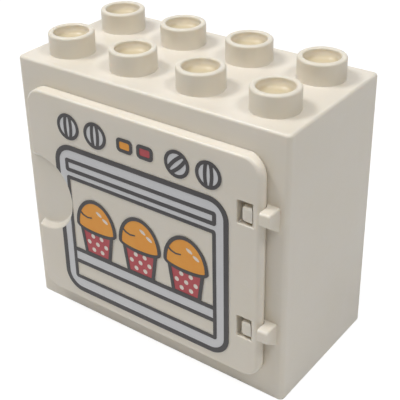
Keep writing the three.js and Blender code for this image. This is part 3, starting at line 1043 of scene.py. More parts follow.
class GridTree(NodeTree):
    """A Geometry Nodes tree that sets copies out on the stud grid, and the modifier that runs it."""

    def __init__(self, name: str, grid: BrickGrid, finish: bpy.types.Material) -> None:
        """Starts a tree that makes geometry from its named inputs alone.

        Args:
            name: The tree's name, and the name of the object that it makes.
            grid: The stud grid.
            finish: The material of what it makes.
        """
        super().__init__(bpy.data.node_groups.new(name, "GeometryNodeTree"))
        self.tree.interface.new_socket("Geometry", in_out="OUTPUT", socket_type="NodeSocketGeometry")
        self.name = name
        self.values: dict[str, object] = {}
        self.prototypes: list[bpy.types.Object] = []
        self.input = self.add("NodeGroupInput")
        self.columns = self.named("Columns", "NodeSocketInt", grid.columns)
        self.rows = self.named("Rows", "NodeSocketInt", grid.rows)
        self.pitch = self.named("Pitch", "NodeSocketFloat", grid.pitch * MM)
        self.middle = self.named("Middle Y", "NodeSocketFloat", grid.middle_y * MM)
        self.finish = self.named("Finish", "NodeSocketMaterial", finish)

    def named(self, name: str, kind: str, value: object) -> bpy.types.NodeSocket:
        """A named input and the value that it gets.

        Args:
            name: The input's name.
            kind: Its socket type.
            value: Its value.

        Returns:
            The input's output inside the tree.
        """
        socket = self.tree.interface.new_socket(name, in_out="INPUT", socket_type=kind)
        self.values[socket.identifier] = value
        return self.input.outputs[name]

    def prototype(self, name: str, piece: bpy.types.Object) -> bpy.types.NodeSocket:
        """The geometry of an object that is copied, which is removed when the tree has run.

        Args:
            name: The name of its input.
            piece: The object.

        Returns:
            Its geometry.
        """
        self.prototypes.append(piece)
        shown = self.named(name, "NodeSocketObject", piece)
        return self.add("GeometryNodeObjectInfo", {"Object": shown}).outputs["Geometry"]

    def less_one(self, value: bpy.types.NodeSocket) -> bpy.types.NodeSocket:
        """A number less one."""
        return self.maths("SUBTRACT", value, 1.0)

    def span(self, count: bpy.types.NodeSocket) -> bpy.types.NodeSocket:
        """The distance from the first to the last of some places on the grid."""
        return self.maths("MULTIPLY", self.less_one(count), self.pitch)

    def copies(
        self, piece: bpy.types.NodeSocket, size: tuple[bpy.types.NodeSocket, bpy.types.NodeSocket],
        count: tuple[bpy.types.NodeSocket, bpy.types.NodeSocket], turn: float = 0.0,
    ) -> bpy.types.NodeSocket:
        """Copies of a prototype, in rows and columns about the cabinet's middle.

        Args:
            piece: The prototype's geometry.
            size: The distances along X and Y from the first to the last.
            count: How many stand along X and Y.
            turn: How far each copy turns about Z, in radians.

        Returns:
            The instances.
        """
        places = self.add("GeometryNodeMeshGrid", {
            "Size X": size[0], "Size Y": size[1], "Vertices X": count[0], "Vertices Y": count[1],
        })
        shift = self.add("ShaderNodeCombineXYZ", {"Y": self.middle})
        moved = self.add("GeometryNodeTransform", {
            "Geometry": places.outputs["Mesh"], "Translation": shift.outputs[0],
        })
        return self.add("GeometryNodeInstanceOnPoints", {
            "Points": moved.outputs["Geometry"], "Instance": piece, "Rotation": (0.0, 0.0, turn),
        }).outputs["Instances"]

    def run(self, geometry: list[bpy.types.NodeSocket]) -> bpy.types.Object:
        """Ends the tree, runs it and turns the result into a plain mesh.

        Args:
            geometry: What the tree has made.

        Returns:
            The object.
        """
        joined = self.add("GeometryNodeJoinGeometry")
        for part in geometry:
            self.tree.links.new(part, joined.inputs["Geometry"])
        realised = self.add("GeometryNodeRealizeInstances", {"Geometry": joined.outputs["Geometry"]})
        dressed = self.add("GeometryNodeSetMaterial", {
            "Geometry": realised.outputs["Geometry"], "Material": self.finish,
        })
        self.add("NodeGroupOutput", {"Geometry": dressed.outputs["Geometry"]})
        piece = new_object(self.name, bpy.data.meshes.new(self.name))
        modifier = piece.modifiers.new(self.name, "NODES")
        modifier.node_group = self.tree
        for identifier, value in self.values.items():
            modifier[identifier] = value
        plain_mesh(piece)
        for prototype in self.prototypes:
            bpy.data.objects.remove(prototype)
        return piece


@dataclass
class StudField:
    """The eight hollow studs, set out on the grid by Geometry Nodes."""

    grid: BrickGrid
    rim: float = 1.15
    hollow_depth: float = 2.1
    outer_edge: float = 0.45
    inner_edge: float = 0.35
    root_edge: float = 0.1
    hollow_edge: float = 1.6
    root: float = 0.4
    sides: int = 96

    def stud(self) -> bpy.types.Object:
        """One stud, turned about the Z axis at its height on the cabinet.

        Returns:
            The stud.
        """
        plate = self.grid.height
        height = self.grid.stud_height
        top = plate + height
        radius = self.grid.stud_radius
        hollow = radius - self.rim
        floor = top - self.hollow_depth
        bowl = self.hollow_edge
        inner = self.inner_edge
        outer = self.outer_edge
        root = self.root_edge
        profile = [
            (0.0, floor),
            (hollow / 2, floor),
            *arc((hollow - bowl, floor + bowl), bowl, bowl, -90, 0, 12),
            *arc((hollow + inner, top - inner), inner, inner, 180, 90, 5),
            *arc((radius - outer, top - outer), outer, outer, 90, 0, 5),
            (radius, plate + height / 2),
            *arc((radius + root, plate + root), root, root, 180, 270, 4),
            (radius + root, plate - self.root),
            (0.0, plate - self.root),
        ]
        return turned("stud", profile, self.sides, closed=False)

    def build(self, finish: bpy.types.Material) -> bpy.types.Object:
        """Copies the stud over the grid.

        Args:
            finish: The plastic.

        Returns:
            The eight studs, as one mesh.
        """
        tree = GridTree("studs", self.grid, finish)
        stud = tree.prototype("Stud", self.stud())
        size = (tree.span(tree.columns), tree.span(tree.rows))
        return tree.run([tree.copies(stud, size, (tree.columns, tree.rows))])


@dataclass
class UndersideGrip:
    """The tubes and ribs that grip the studs of a brick below, set out by Geometry Nodes."""

    grid: BrickGrid
    tube_wall: float = 1.3
    rib_width: float = 1.2
    root: float = 0.3
    edge: float = 0.25
    rib_foot_edge: float = 0.2
    sides: int = 64

    def tube(self) -> bpy.types.Object:
        """One tube, which touches the four studs round it.

        Returns:
            The tube.
        """
        outer = self.grid.pitch * math.sqrt(2) / 2 - self.grid.stud_radius
        inner = outer - self.tube_wall
        edge = self.edge
        root = self.grid.grip_depth + self.root
        profile = [
            (outer, root),
            (inner, root),
            *arc((inner + edge, edge), edge, edge, 180, 270, 4),
            *arc((outer - edge, edge), edge, edge, 270, 360, 4),
        ]
        return turned("tube", profile, self.sides, closed=True)

    def rib(self, length: float) -> bpy.types.Object:
        """One rib, which stands across a wall with its middle at the origin.

        Args:
            length: How far it reaches in from the wall, with its root.

        Returns:
            The rib.
        """
        outline = SoftRectangle(-self.rib_width / 2, self.rib_width / 2, -length / 2, length / 2, self.edge)
        root = self.grid.grip_depth + self.root
        return slab("rib", outline.inset(0), Axis.UP, 0, root, self.rib_foot_edge, 0)

    def build(self, finish: bpy.types.Material) -> bpy.types.Object:
        """Copies the tube and the rib to their places.

        Args:
            finish: The plastic.

        Returns:
            The tubes and ribs, as one mesh.
        """
        grid = self.grid
        long_start = (grid.rows - 1) * grid.pitch / 2 + grid.stud_radius
        long_end = grid.half_depth - grid.wall + self.root
        short_start = (grid.columns - 1) * grid.pitch / 2 + grid.stud_radius
        short_end = grid.half_width - grid.wall + self.root
        tree = GridTree("underside_grip", grid, finish)
        tube = tree.prototype("Tube", self.tube())
        rib = tree.prototype("Rib", self.rib(long_end - long_start))
        walls = tree.named("Walls", "NodeSocketInt", 2)
        between_long = tree.named("Between Long Ribs", "NodeSocketFloat", (long_start + long_end) * MM)
        between_short = tree.named("Between Short Ribs", "NodeSocketFloat", (short_start + short_end) * MM)
        across = tree.span(tree.columns)
        deep = tree.span(tree.rows)
        gaps = (tree.less_one(tree.columns), tree.less_one(tree.rows))
        return tree.run([
            tree.copies(tube, (tree.span(gaps[0]), tree.span(gaps[1])), gaps),
            tree.copies(rib, (across, between_long), (tree.columns, walls)),
            tree.copies(rib, (between_short, deep), (walls, tree.rows), math.pi / 2),
        ])


@dataclass
class HingeJaws:
    """The two pairs of jaws that hold the door's hinge bar: one jaw in the window, one outside the bar."""

    door: DoorPlan
    bar_clearance: float = 0.12
    inner_reach: float = 3.2
    inner_recess: float = 0.12
    inner_height: float = 3.2
    inner_drop: float = 0.3
    inner_corner: float = 0.8
    inner_edge: float = 0.65
    lip_gap: float = 0.1
    outer_width: float = 2.1
    outer_proud: float = 1.0
    outer_top_gap: float = 0.5
    nose_height: float = 2.7
    nose_turn: float = 40.0
    root_drop: float = 2.4
    nose_radius: float = 0.5
    outer_edge: float = 0.35
    root: float = 1.2
    bar_sides: int = 48

    def inner_jaw(self, height: float, number: int) -> bpy.types.Object:
        """The jaw left of the bar, which stands in the door's window.

        Args:
            height: Z of the hinge's middle.
            number: The hinge's number, for the name.

        Returns:
            The jaw.
        """
        hinge_x, hinge_y = self.door.hinge
        plan = SoftRectangle(hinge_x - self.inner_reach, hinge_x, self.door.front + self.inner_recess,
                             self.door.grid.front + self.root, self.inner_corner)
        foot = height - self.inner_drop - self.inner_height / 2
        top = foot + self.inner_height
        jaw = slab(f"inner_jaw_{number}", plan.inset(0), Axis.UP, foot, top, self.inner_edge,
                   self.inner_edge, steps=6)
        space = self.door.bar_radius + self.bar_clearance
        bar = ellipse((hinge_x, hinge_y), space, space, self.bar_sides)
        carved(jaw, [slab("bar_space", bar, Axis.UP, foot - self.root, top + self.root, 0, 0)])
        return jaw

    def outer_jaw(self, height: float, number: int) -> bpy.types.Object:
        """The jaw right of the bar: a bracket with a level top and a sloping foot.

        Args:
            height: Z of the hinge's middle.
            number: The hinge's number, for the name.

        Returns:
            The jaw.
        """
        hinge_x, hinge_y = self.door.hinge
        wall = self.door.grid.front
        front = self.door.front - self.outer_proud
        back = wall + self.root
        top = height + self.door.window_height / 2 - self.outer_top_gap
        nose_foot = top - self.nose_height
        root_foot = nose_foot - self.root_drop
        radius = self.nose_radius
        side = [
            (back, top),
            *arc((front + radius, top - radius), radius, radius, 90, 180, 8),
            *arc((front + radius, nose_foot + radius), radius, radius, 180, 180 + self.nose_turn, 5),
            (wall, root_foot),
            (back, root_foot),
        ]
        left = hinge_x + self.door.bar_radius + self.lip_gap
        right = left + self.outer_width
        jaw = slab(f"outer_jaw_{number}", side, Axis.RIGHT, hinge_x, right, 0, self.outer_edge,
                   steps=6)
        space = self.door.bar_radius + self.bar_clearance
        lip = math.degrees(math.acos((left - hinge_x) / space))
        far = self.outer_width * 2
        plan = [
            (left, hinge_y - far),
            *arc((hinge_x, hinge_y), space, space, -lip, 90, 20),
            (hinge_x - far, hinge_y + space),
            (hinge_x - far, hinge_y - far),
        ]
        carved(jaw, [slab("bar_space", plan, Axis.UP, root_foot - far, top + far, 0, 0)])
        return jaw

    def build(self) -> list[bpy.types.Object]:
        """The four jaws.

        Returns:
            The jaws, inner and outer in turn.
        """
        jaws = []
        for number, height in enumerate(self.door.hinge_heights, start=1):
            jaws += [self.inner_jaw(height, number), self.outer_jaw(height, number)]
        return jaws


@dataclass
class Cabinet:
    """The cabinet's moulding: the shell with its studs, underside grip and hinge jaws, in one piece."""

    grid: BrickGrid
    door: DoorPlan

    def build(self, finish: bpy.types.Material) -> None:
        """Joins the cabinet's parts into one moulding and dresses it.

        Args:
            finish: The plastic.
        """
        moulding = CabinetShell(self.grid, self.door).build()
        moulding.name = "cabinet_moulding"
        studs = StudField(self.grid).build(finish)
        grip = UndersideGrip(self.grid).build(finish)
        jaws = HingeJaws(self.door).build()
        carved(moulding, [studs, grip, *jaws], "UNION")
        place(soften(moulding, sharp_angle=40), Body.CABINET, Slot.PLASTIC, ["cabinet"], finish)


@dataclass(frozen=True)
class FingerScoop:
    """The finger scoop: a round dish that runs out through the door's free edge.

    Its floor leans, so that it is deepest at its foot, and head_share says what is left of that depth at
    its head.
    """

    plan: DoorPlan
    radius: float = 8.7
    edge: float = 0.5
    depth: float = 1.6
    draft: float = 0.35
    floor_edge: float = 0.5
    head_share: float = 0.4
    inset: float = 1.25
    rise: float = 0.2
    reach: float = 1.0
    reach_flare: float = 0.6
    sides: int = 96

    @property
    def middle(self) -> Point:
        """X and Z of the dish's middle."""
        return self.plan.left + self.inset, self.plan.middle[1] + self.rise

    def circle(self, radius: float) -> Outline:
        """A circle round the dish's middle."""
        return ellipse(self.middle, radius, radius, self.sides)

    def rim(self) -> Outline:
        """The dish's rim on the door's face."""
        return self.circle(self.radius + self.edge)

    def tool(self) -> bpy.types.Object:
        """The dish's cutting tool.

        Returns:
            The solid that is cut away.
        """
        foot = self.radius - self.draft
        low = self.middle[1] - self.radius
        profile = [
            (self.radius + self.reach_flare, -self.reach),
            *[(self.radius + drawn, deep) for drawn, deep in rim_steps(self.edge, steps=8)],
            *[(foot - drawn, self.depth - deep)
              for drawn, deep in reversed(rim_steps(self.floor_edge, steps=6))],
        ]
        rings = []
        for radius, depth in profile:
            ring = []
            for across, up in self.circle(radius):
                share = 1 - (1 - self.head_share) * (up - low) / (2 * self.radius)
                ring.append(Axis.BACK.point(across, up, self.plan.front + depth * share))
            rings.append(ring)
        return loft("scoop", rings)


@dataclass
class OvenDoor:
    """The door panel: a round hinge bar on its right, two windows for the jaws and a finger scoop."""

    plan: DoorPlan
    scoop: FingerScoop
    corner_radius: float = 3.8
    front_edge: float = 0.55
    back_edge: float = 0.05
    back_reach: float = 0.1
    window_reach: float = 3.98
    window_corner: float = 0.35
    window_edge: float = 0.2
    cut_reach: float = 1.0
    bar_steps: int = 24
    least_step: float = 0.012

    def depths(self) -> list[float]:
        """Where the panel's rings lie, as distances from the bar's back.

        The flat part of the panel reaches a little further back than the bar and closes on the wall.

        Returns:
            The distances, from the back to the front.
        """
        bar = self.plan.bar_radius
        thickness = self.plan.thickness
        turns = [math.pi * step / self.bar_steps for step in range(self.bar_steps + 1)]
        found = [bar - bar * math.cos(turn) for turn in turns]
        found += [deep - self.back_reach for _, deep in rim_steps(self.back_edge, steps=4)]
        found += [thickness - deep for _, deep in rim_steps(self.front_edge, steps=8)]
        kept = [-self.back_reach]
        for depth in sorted(found):
            if min(depth - kept[-1], thickness - depth) > self.least_step:
                kept.append(depth)
        return [*kept, thickness]

    def edge_in(self, depth: float) -> float:
        """How far the free edges are drawn in at a distance from the bar's back.

        Args:
            depth: The distance.

        Returns:
            How far the edges are drawn in.
        """
        if depth < self.back_edge - self.back_reach:
            rest = self.back_edge - self.back_reach - depth
            return self.back_edge - math.sqrt(self.back_edge ** 2 - rest ** 2)
        start = self.plan.thickness - self.front_edge
        if depth > start:
            rest = min(depth - start, self.front_edge)
            return self.front_edge - math.sqrt(self.front_edge ** 2 - rest ** 2)
        return 0.0

    def bar_in(self, depth: float) -> float:
        """How far the round hinge edge is drawn in at a distance from the bar's back.

        Args:
            depth: The distance.

        Returns:
            How far the edge is drawn in.
        """
        bar = self.plan.bar_radius
        rest = min(abs(depth - bar), bar)
        return bar - math.sqrt(bar ** 2 - rest ** 2)

    def panel(self) -> bpy.types.Object:
        """The panel before its windows and scoop are cut.

        Returns:
            The panel.
        """
        plan = self.plan
        outline = SoftRectangle(plan.left, plan.right, plan.foot, plan.top, self.corner_radius, steps=14)
        rings = []
        for depth in self.depths():
            edge = self.edge_in(depth)
            drawn = outline.drawn_in(edge, self.bar_in(depth), edge)
            rings.append([Axis.BACK.point(x, z, plan.back - depth) for x, z in drawn])
        return loft("door_panel", rings)

    def window(self, height: float) -> bpy.types.Object:
        """The cutting tool of one window, which leaves the hinge bar.

        Args:
            height: Z of the window's middle.

        Returns:
            The tool.
        """
        plan = self.plan
        hinge_x, hinge_y = plan.hinge
        tall = plan.window_height
        outline = SoftRectangle(hinge_x - self.window_reach, hinge_x, height - tall / 2, height + tall / 2,
                                self.window_corner, steps=5)
        profile = flared_profile(plan.front, plan.back + self.back_reach, self.window_edge, 4,
                                 self.cut_reach)
        tool = swept("window", Axis.BACK, profile, lambda drawn: outline.drawn_in(drawn, 0, drawn))
        bar = ellipse((hinge_x, hinge_y), plan.bar_radius, plan.bar_radius, self.bar_steps * 2)
        carved(tool, [slab("bar", bar, Axis.UP, height - tall, height + tall, 0, 0)])
        return tool

    def build(self, finish: bpy.types.Material) -> None:
        """Builds the door and dresses it.

        Args:
            finish: The plastic.
        """
        panel = self.panel()
        tools = [self.window(height) for height in self.plan.hinge_heights]
        carved(panel, [*tools, self.scoop.tool()])
        place(soften(panel), Body.DOOR, Slot.PLASTIC, ["door"], finish)


@dataclass
class Patch:
    """One printed area: an outline with the holes that belong to it."""

    outline: Outline
    holes: list[Outline] = field(default_factory=list)


def ring_patch(outline: Outline, line: float) -> Patch:
    """The patch that a line of one width leaves along a closed outline."""
    return Patch(inset(outline, -line / 2), [inset(outline, line / 2)])


def drawn_border(outside: SoftRectangle, line: float, tightest: float = 0.15) -> Patch:
    """The patch of a line drawn just inside a soft rectangle.

    Args:
        outside: The line's outer edge.
        line: The line's width.
        tightest: The smallest corner radius of its inner edge.

    Returns:
        The patch.
    """
    inside = SoftRectangle(outside.left + line, outside.right - line, outside.foot + line,
                           outside.top - line, max(outside.radius - line, tightest), outside.steps)
    return Patch(outside.inset(0), [inside.inset(0)])


@dataclass(frozen=True)
class PrintBed:
    """The door's face, the inks that are printed on it and the row of controls above the oven front."""

    door: DoorPlan
    inks: dict[Slot, bpy.types.Material]
    ink: float = 0.05
    overlap: float = 0.3
    control_band: float = 10.1
    row_share: float = 0.59

    @property
    def row_height(self) -> float:
        """Z of the middle of the control row."""
        return self.door.top - self.control_band * self.row_share

    def across(self, share: float) -> float:
        """X at a share of the door's width from its middle."""
        return self.door.middle[0] + (self.door.right - self.door.left) * share

    def filled(self, outline: Outline) -> Outline:
        """A fill's outline, which ends under the middle of the line round it."""
        return inset(outline, -self.overlap / 2)

    def kept_clear(self, outline: Outline) -> Outline:
        """What a neighbour's ink leaves free for a fill."""
        return inset(outline, self.overlap / 2)

    def film(
        self, name: str, node: str, slot: Slot, layer: InkLayer, patches: list[Patch],
        cuts: list[Outline] | None = None,
    ) -> None:
        """Prints one film of ink, as a thin closed solid.

        Args:
            name: The film's name.
            node: The CAD node that it stands for.
            slot: The ink.
            layer: The layer that the film lies in.
            patches: The areas that are printed.
            cuts: Outlines that stay free of this ink.
        """
        points: list[Vector] = []
        faces: list[list[int]] = []

        def face_of(outline: Outline) -> int:
            """The number of a new face with this outline.

            Args:
                outline: The face's outline.

            Returns:
                The face's number.
            """
            start = len(points)
            points.extend(Vector(point) for point in outline)
            faces.append(list(range(start, len(points))))
            return len(faces) - 1

        printed = [(face_of(patch.outline), [face_of(hole) for hole in patch.holes]) for patch in patches]
        free = {face_of(cut) for cut in cuts or []}
        places, _, triangles, _, _, sources = delaunay_2d_cdt(points, [], faces, 1, SAME_POINT, True)
        kept = []
        for triangle, source in zip(triangles, sources):
            inside = set(source)
            inked = any(area in inside and not inside.intersection(holes) for area, holes in printed)
            if inked and not inside & free:
                kept.append(triangle)
        back = self.door.front - self.ink * layer.value
        film = self.raised(name, places, kept, back, back - self.ink)
        place(film, Body.DOOR, slot, [node], self.inks[slot])

    def raised(
        self, name: str, places: list[Vector], triangles: list[list[int]], back: float, front: float
    ) -> bpy.types.Object:
        """Flat triangles as a thin closed solid.

        Args:
            name: The object's name.
            places: The points' X and Z.
            triangles: The triangles' points.
            back: Y of the solid's back face.
            front: Y of its front face.

        Returns:
            The object.
        """
        shape = bmesh.new()
        levels = []
        for depth in (front, back):
            levels.append([shape.verts.new((place.x, depth, place.y)) for place in places])
        borders: dict[tuple[int, int], int] = {}
        for triangle in triangles:
            for level in levels:
                shape.faces.new([level[index] for index in triangle])
            for first, second in zip(triangle, [*triangle[1:], triangle[0]]):
                edge = (min(first, second), max(first, second))
                borders[edge] = borders.get(edge, 0) + 1
        for (first, second), uses in borders.items():
            if uses == 1:
                near, far = levels
                shape.faces.new((near[first], near[second], far[second], far[first]))
        loose = [vertex for vertex in shape.verts if not vertex.link_faces]
        bmesh.ops.delete(shape, geom=loose, context="VERTS")
        return solid_from(name, shape)


@dataclass
class OvenFrontPrint:
    """The printed oven front: the grey band with its frame, handle, glass and rack."""

    bed: PrintBed
    scoop: FingerScoop
    side_margin: float = 6.85
    foot_margin: float = 2.2
    frame_line: float = 1.1
    frame_radius: float = 4.4
    glass_side: float = 2.8
    glass_foot: float = 3.35
    glass_top: float = 7.0
    glass_line: float = 0.8
    small_radius: float = 0.6
    handle_side: float = 2.7
    handle_top: float = 3.05
    handle_height: float = 3.0
    handle_line: float = 0.85
    rack_lift_share: float = 0.18
    rack_height_share: float = 0.116
    rack_line: float = 0.9
    glass_slack: float = 0.05

    def __post_init__(self) -> None:
        """Works out the outlines, each along the outer edge of its black line."""
        door = self.bed.door
        left = door.left + self.side_margin
        right = door.right - self.side_margin
        foot = door.foot + self.foot_margin
        top = door.top - self.bed.control_band
        glass_foot = foot + self.glass_foot
        glass_top = top - self.glass_top
        self.frame = SoftRectangle(left, right, foot, top, self.frame_radius, steps=14)
        self.glass = SoftRectangle(left + self.glass_side, right - self.glass_side, glass_foot, glass_top,
                                   self.small_radius, steps=6)
        handle_top = top - self.handle_top
        self.handle = SoftRectangle(left + self.handle_side, right - self.handle_side,
                                    handle_top - self.handle_height, handle_top, self.small_radius,
                                    steps=6)
        self.glass_left = left + self.glass_side + self.glass_line
        self.glass_right = right - self.glass_side - self.glass_line
        self.glass_head = glass_top
        glass_height = glass_top - glass_foot
        self.rack_foot = glass_foot + glass_height * self.rack_lift_share
        self.rack_top = self.rack_foot + glass_height * self.rack_height_share

    def build(self, muffin_cases: list[Outline]) -> None:
        """Prints the oven front.

        Args:
            muffin_cases: The outlines that stand in front of the rack.
        """
        bed = self.bed
        line = self.glass_line
        rim = self.scoop.rim()
        clear = [rim, *[bed.kept_clear(case) for case in muffin_cases]]
        rack_left = self.glass_left - line
        rack_right = self.glass_right + line
        rack = [
            (rack_left, self.rack_foot), (rack_right, self.rack_foot),
            (rack_right, self.rack_top), (rack_left, self.rack_top),
        ]
        glass = self.glass.inset(line / 2 + bed.overlap / 2 - self.glass_slack)
        band = Patch(self.frame.inset(self.frame_line / 2 - bed.overlap / 2), [glass])
        lines = [drawn_border(self.glass, line)]
        for height in (self.rack_foot, self.rack_top):
            ends = [(self.glass_left, height), (self.glass_right, height)]
            lines.append(Patch(stroke(ends, self.rack_line, self.rack_line)))
        frame_line = [drawn_border(self.frame, self.frame_line)]
        handle_line = [drawn_border(self.handle, self.handle_line)]
        bed.film("grey_print", "oven_print_grey", Slot.GREY, InkLayer.GROUND, [band, Patch(rack)], clear)
        bed.film("frame_print", "oven_print_frame", Slot.BLACK, InkLayer.MIDDLE, frame_line, [rim])
        bed.film("handle_print", "oven_print_handle", Slot.BLACK, InkLayer.MIDDLE, handle_line)
        bed.film("glass_print", "oven_print_glass", Slot.BLACK, InkLayer.MIDDLE, lines, clear)


@dataclass
class KnobRow:
    """The four printed knobs of the control row."""

    bed: PrintBed
    radius: float = 2.85
    line: float = 0.72
    bar_line: float = 0.75
    bar_spacing: float = 1.5
    bar_end_spacing: float = 0.95
    place_shares: tuple[float, ...] = (-0.301, -0.176, 0.176, 0.301)
    turn_shares: tuple[float, ...] = (0.0, 0.0, 0.125, 0.0)
    sides: int = 64
    bar_steps: int = 12

    def bars(self, centre: Vector, turn: Matrix) -> list[Patch]:
        """The two bulging bars across one knob.

        Args:
            centre: The knob's middle.
            turn: How the knob is turned.

        Returns:
            The bars.
        """
        radius = self.radius - self.line / 2
        half = math.sqrt(radius ** 2 - (self.bar_end_spacing / 2) ** 2)
        bulge = (self.bar_spacing - self.bar_end_spacing) / 2
        drawn = []
        for side in (-1, 1):
            bar = []
            for step in range(self.bar_steps + 1):
                up = 2 * step / self.bar_steps - 1
                across = side * (self.bar_end_spacing / 2 + bulge * (1 - up ** 2))
                bar.append(tuple(centre + turn @ Vector((across, up * half))))
            drawn.append(Patch(stroke(bar, self.bar_line, self.bar_line)))
        return drawn

    def build(self) -> None:
        """Prints the knobs."""
        bed = self.bed
        radius = self.radius - self.line / 2
        knobs = zip(self.place_shares, self.turn_shares)
        for number, (place_share, turn_share) in enumerate(knobs, start=1):
            centre = Vector((bed.across(place_share), bed.row_height))
            circle = ellipse(tuple(centre), radius, radius, self.sides)
            turn = Matrix.Rotation(-turn_share * math.tau, 2)
            lines = [ring_patch(circle, self.line), *self.bars(centre, turn)]
            bed.film(f"knob_face_{number}", f"knob_print_face_{number}", Slot.GREY, InkLayer.GROUND,
                     [Patch(bed.filled(circle))])
            bed.film(f"knob_lines_{number}", f"knob_print_lines_{number}", Slot.BLACK, InkLayer.MIDDLE,
                     lines)


@dataclass
class LampPair:
    """The two printed lamps between the knobs."""

    bed: PrintBed
    width: float = 3.9
    height: float = 3.0
    line: float = 0.72
    corner_radius: float = 0.9
    inner_radius: float = 0.4
    lamps: tuple[tuple[str, Slot, float], ...] = (
        ("orange", Slot.ORANGE, -0.0436), ("red", Slot.RED, 0.0436),
    )

    def build(self) -> None:
        """Prints the lamps."""
        bed = self.bed
        z = bed.row_height
        for name, slot, share in self.lamps:
            x = bed.across(share)
            rim = SoftRectangle(x - self.width / 2, x + self.width / 2, z - self.height / 2,
                                z + self.height / 2, self.corner_radius, steps=10)
            fill = Patch(rim.inset(self.line / 2 - bed.overlap / 2))
            border = drawn_border(rim, self.line, self.inner_radius)
            bed.film(f"lamp_{name}", f"lamp_print_{name}", slot, InkLayer.GROUND, [fill])
            bed.film(f"lamp_rim_{name}", f"lamp_print_rim_{name}", Slot.BLACK, InkLayer.MIDDLE, [border])


@dataclass
class MuffinRow:
    """Three printed muffins in dotted cases on the rack."""

    bed: PrintBed
    oven: OvenFrontPrint
    count: int = 3
    line: float = 0.8
    lift: float = 0.3
    row_share: float = 0.965
    case_foot_share: float = 0.27
    case_brim_share: float = 0.36
    case_height_share: float = 0.384
    top_half_width_share: float = 0.435
    top_rise_share: float = 0.355
    top_sag_share: float = 0.071
    dot_radius_share: float = 0.08
    dot_places: tuple[Point, ...] = (
        (-0.1, 0.2), (0.1, 0.2), (-0.2, 0.44), (0.0, 0.44), (0.2, 0.44), (-0.1, 0.68), (0.1, 0.68),
    )
    glint_length: float = 1.7
    glint_width: float = 0.8
    glint_places: tuple[Point, ...] = ((0.08, 0.6), (0.22, 0.42))
    glint_tilt: float = -28.8
    fold_line: float = 0.45
    fold_end_line: float = 0.27
    fold_places: tuple[Point, ...] = ((-0.38, 0.49), (-0.3, 0.38), (-0.2, 0.33), (-0.1, 0.36))
    corner_radius: float = 0.45
    fine_sides: int = 24

    def __post_init__(self) -> None:
        """Works out the sizes that follow the printed glass."""
        self.place = (self.oven.glass_right - self.oven.glass_left) * self.row_share / self.count
        space = self.oven.glass_head - self.oven.rack_top
        self.foot = self.oven.rack_top + self.lift
        self.brim = self.foot + space * self.case_height_share
        self.rise = space * self.top_rise_share
        self.sag = space * self.top_sag_share

    def middle(self, index: int) -> float:
        """X of one muffin's middle."""
        centre = (self.oven.glass_left + self.oven.glass_right) / 2
        return centre + (index - (self.count - 1) / 2) * self.place

    def case(self, index: int) -> Outline:
        """The outline of one case.

        Args:
            index: The muffin's place in the row, from 0.

        Returns:
            The outline.
        """
        x = self.middle(index)
        foot = self.place * self.case_foot_share
        brim = self.place * self.case_brim_share
        corners = [
            (x - foot, self.foot), (x + foot, self.foot), (x + brim, self.brim), (x - brim, self.brim),
        ]
        return round_corners(corners, self.corner_radius)

    def top(self, index: int, grown: float = 0.0) -> Outline:
        """The outline of one muffin's top, or one let out all round by a distance.

        Args:
            index: The muffin's place in the row, from 0.
            grown: The distance.

        Returns:
            The outline.
        """
        centre = (self.middle(index), self.brim)
        half_width = self.place * self.top_half_width_share + grown
        upper = arc(centre, half_width, self.rise + grown, 0, 180, self.fine_sides)
        lower = arc(centre, half_width, self.sag + grown, 180, 360, self.fine_sides)
        return [*upper, *lower[1:-1]]

    def dots(self, index: int) -> list[Outline]:
        """The light dots on one case, which its ink leaves free.

        Args:
            index: The muffin's place in the row, from 0.

        Returns:
            The dots' outlines.
        """
        height = self.brim - self.foot
        radius = height * self.dot_radius_share
        found = []
        for across, up in self.dot_places:
            centre = (self.middle(index) + self.place * across, self.foot + height * up)
            found.append(ellipse(centre, radius, radius, self.fine_sides))
        return found

    def glints(self, index: int) -> list[Outline]:
        """The tilted light spots on one top, which its ink leaves free.

        Args:
            index: The muffin's place in the row, from 0.

        Returns:
            The spots' outlines.
        """
        turn = Matrix.Rotation(math.radians(self.glint_tilt), 2)
        flat = ellipse((0, 0), self.glint_length / 2, self.glint_width / 2, self.fine_sides)
        found = []
        for across, up in self.glint_places:
            centre = Vector((self.middle(index) + self.place * across, self.brim + self.rise * up))
            found.append([tuple(centre + turn @ Vector(point)) for point in flat])
        return found

    def lines(self, index: int) -> list[Patch]:
        """The black lines of one muffin: its case below the top, its top and a tapering fold.

        Args:
            index: The muffin's place in the row, from 0.

        Returns:
            The printed areas.
        """
        x = self.middle(index)
        fold = [(x + self.place * across, self.brim + self.rise * up) for across, up in self.fold_places]
        case_line = ring_patch(self.case(index), self.line)
        case_line.holes.append(self.top(index))
        half = self.line / 2
        return [case_line, Patch(self.top(index, half), [self.top(index, -half)]),
                Patch(stroke(fold, self.fold_line, self.fold_end_line))]

    def build(self) -> None:
        """Prints the muffins."""
        bed = self.bed
        for index in range(self.count):
            case = Patch(bed.filled(self.case(index)))
            top = self.top(index)
            films = (
                ("ground", Slot.WHITE, InkLayer.GROUND, [case, Patch(top)], []),
                ("case", Slot.RED, InkLayer.MIDDLE, [case], [top, *self.dots(index)]),
                ("top", Slot.ORANGE, InkLayer.MIDDLE, [Patch(top)], self.glints(index)),
                ("lines", Slot.BLACK, InkLayer.TOP, self.lines(index), []),
            )
            for part, slot, layer, patches, cuts in films:
                bed.film(f"muffin_{part}_{index + 1}", f"muffin_print_{part}_{index + 1}", slot, layer,
                         patches, cuts)


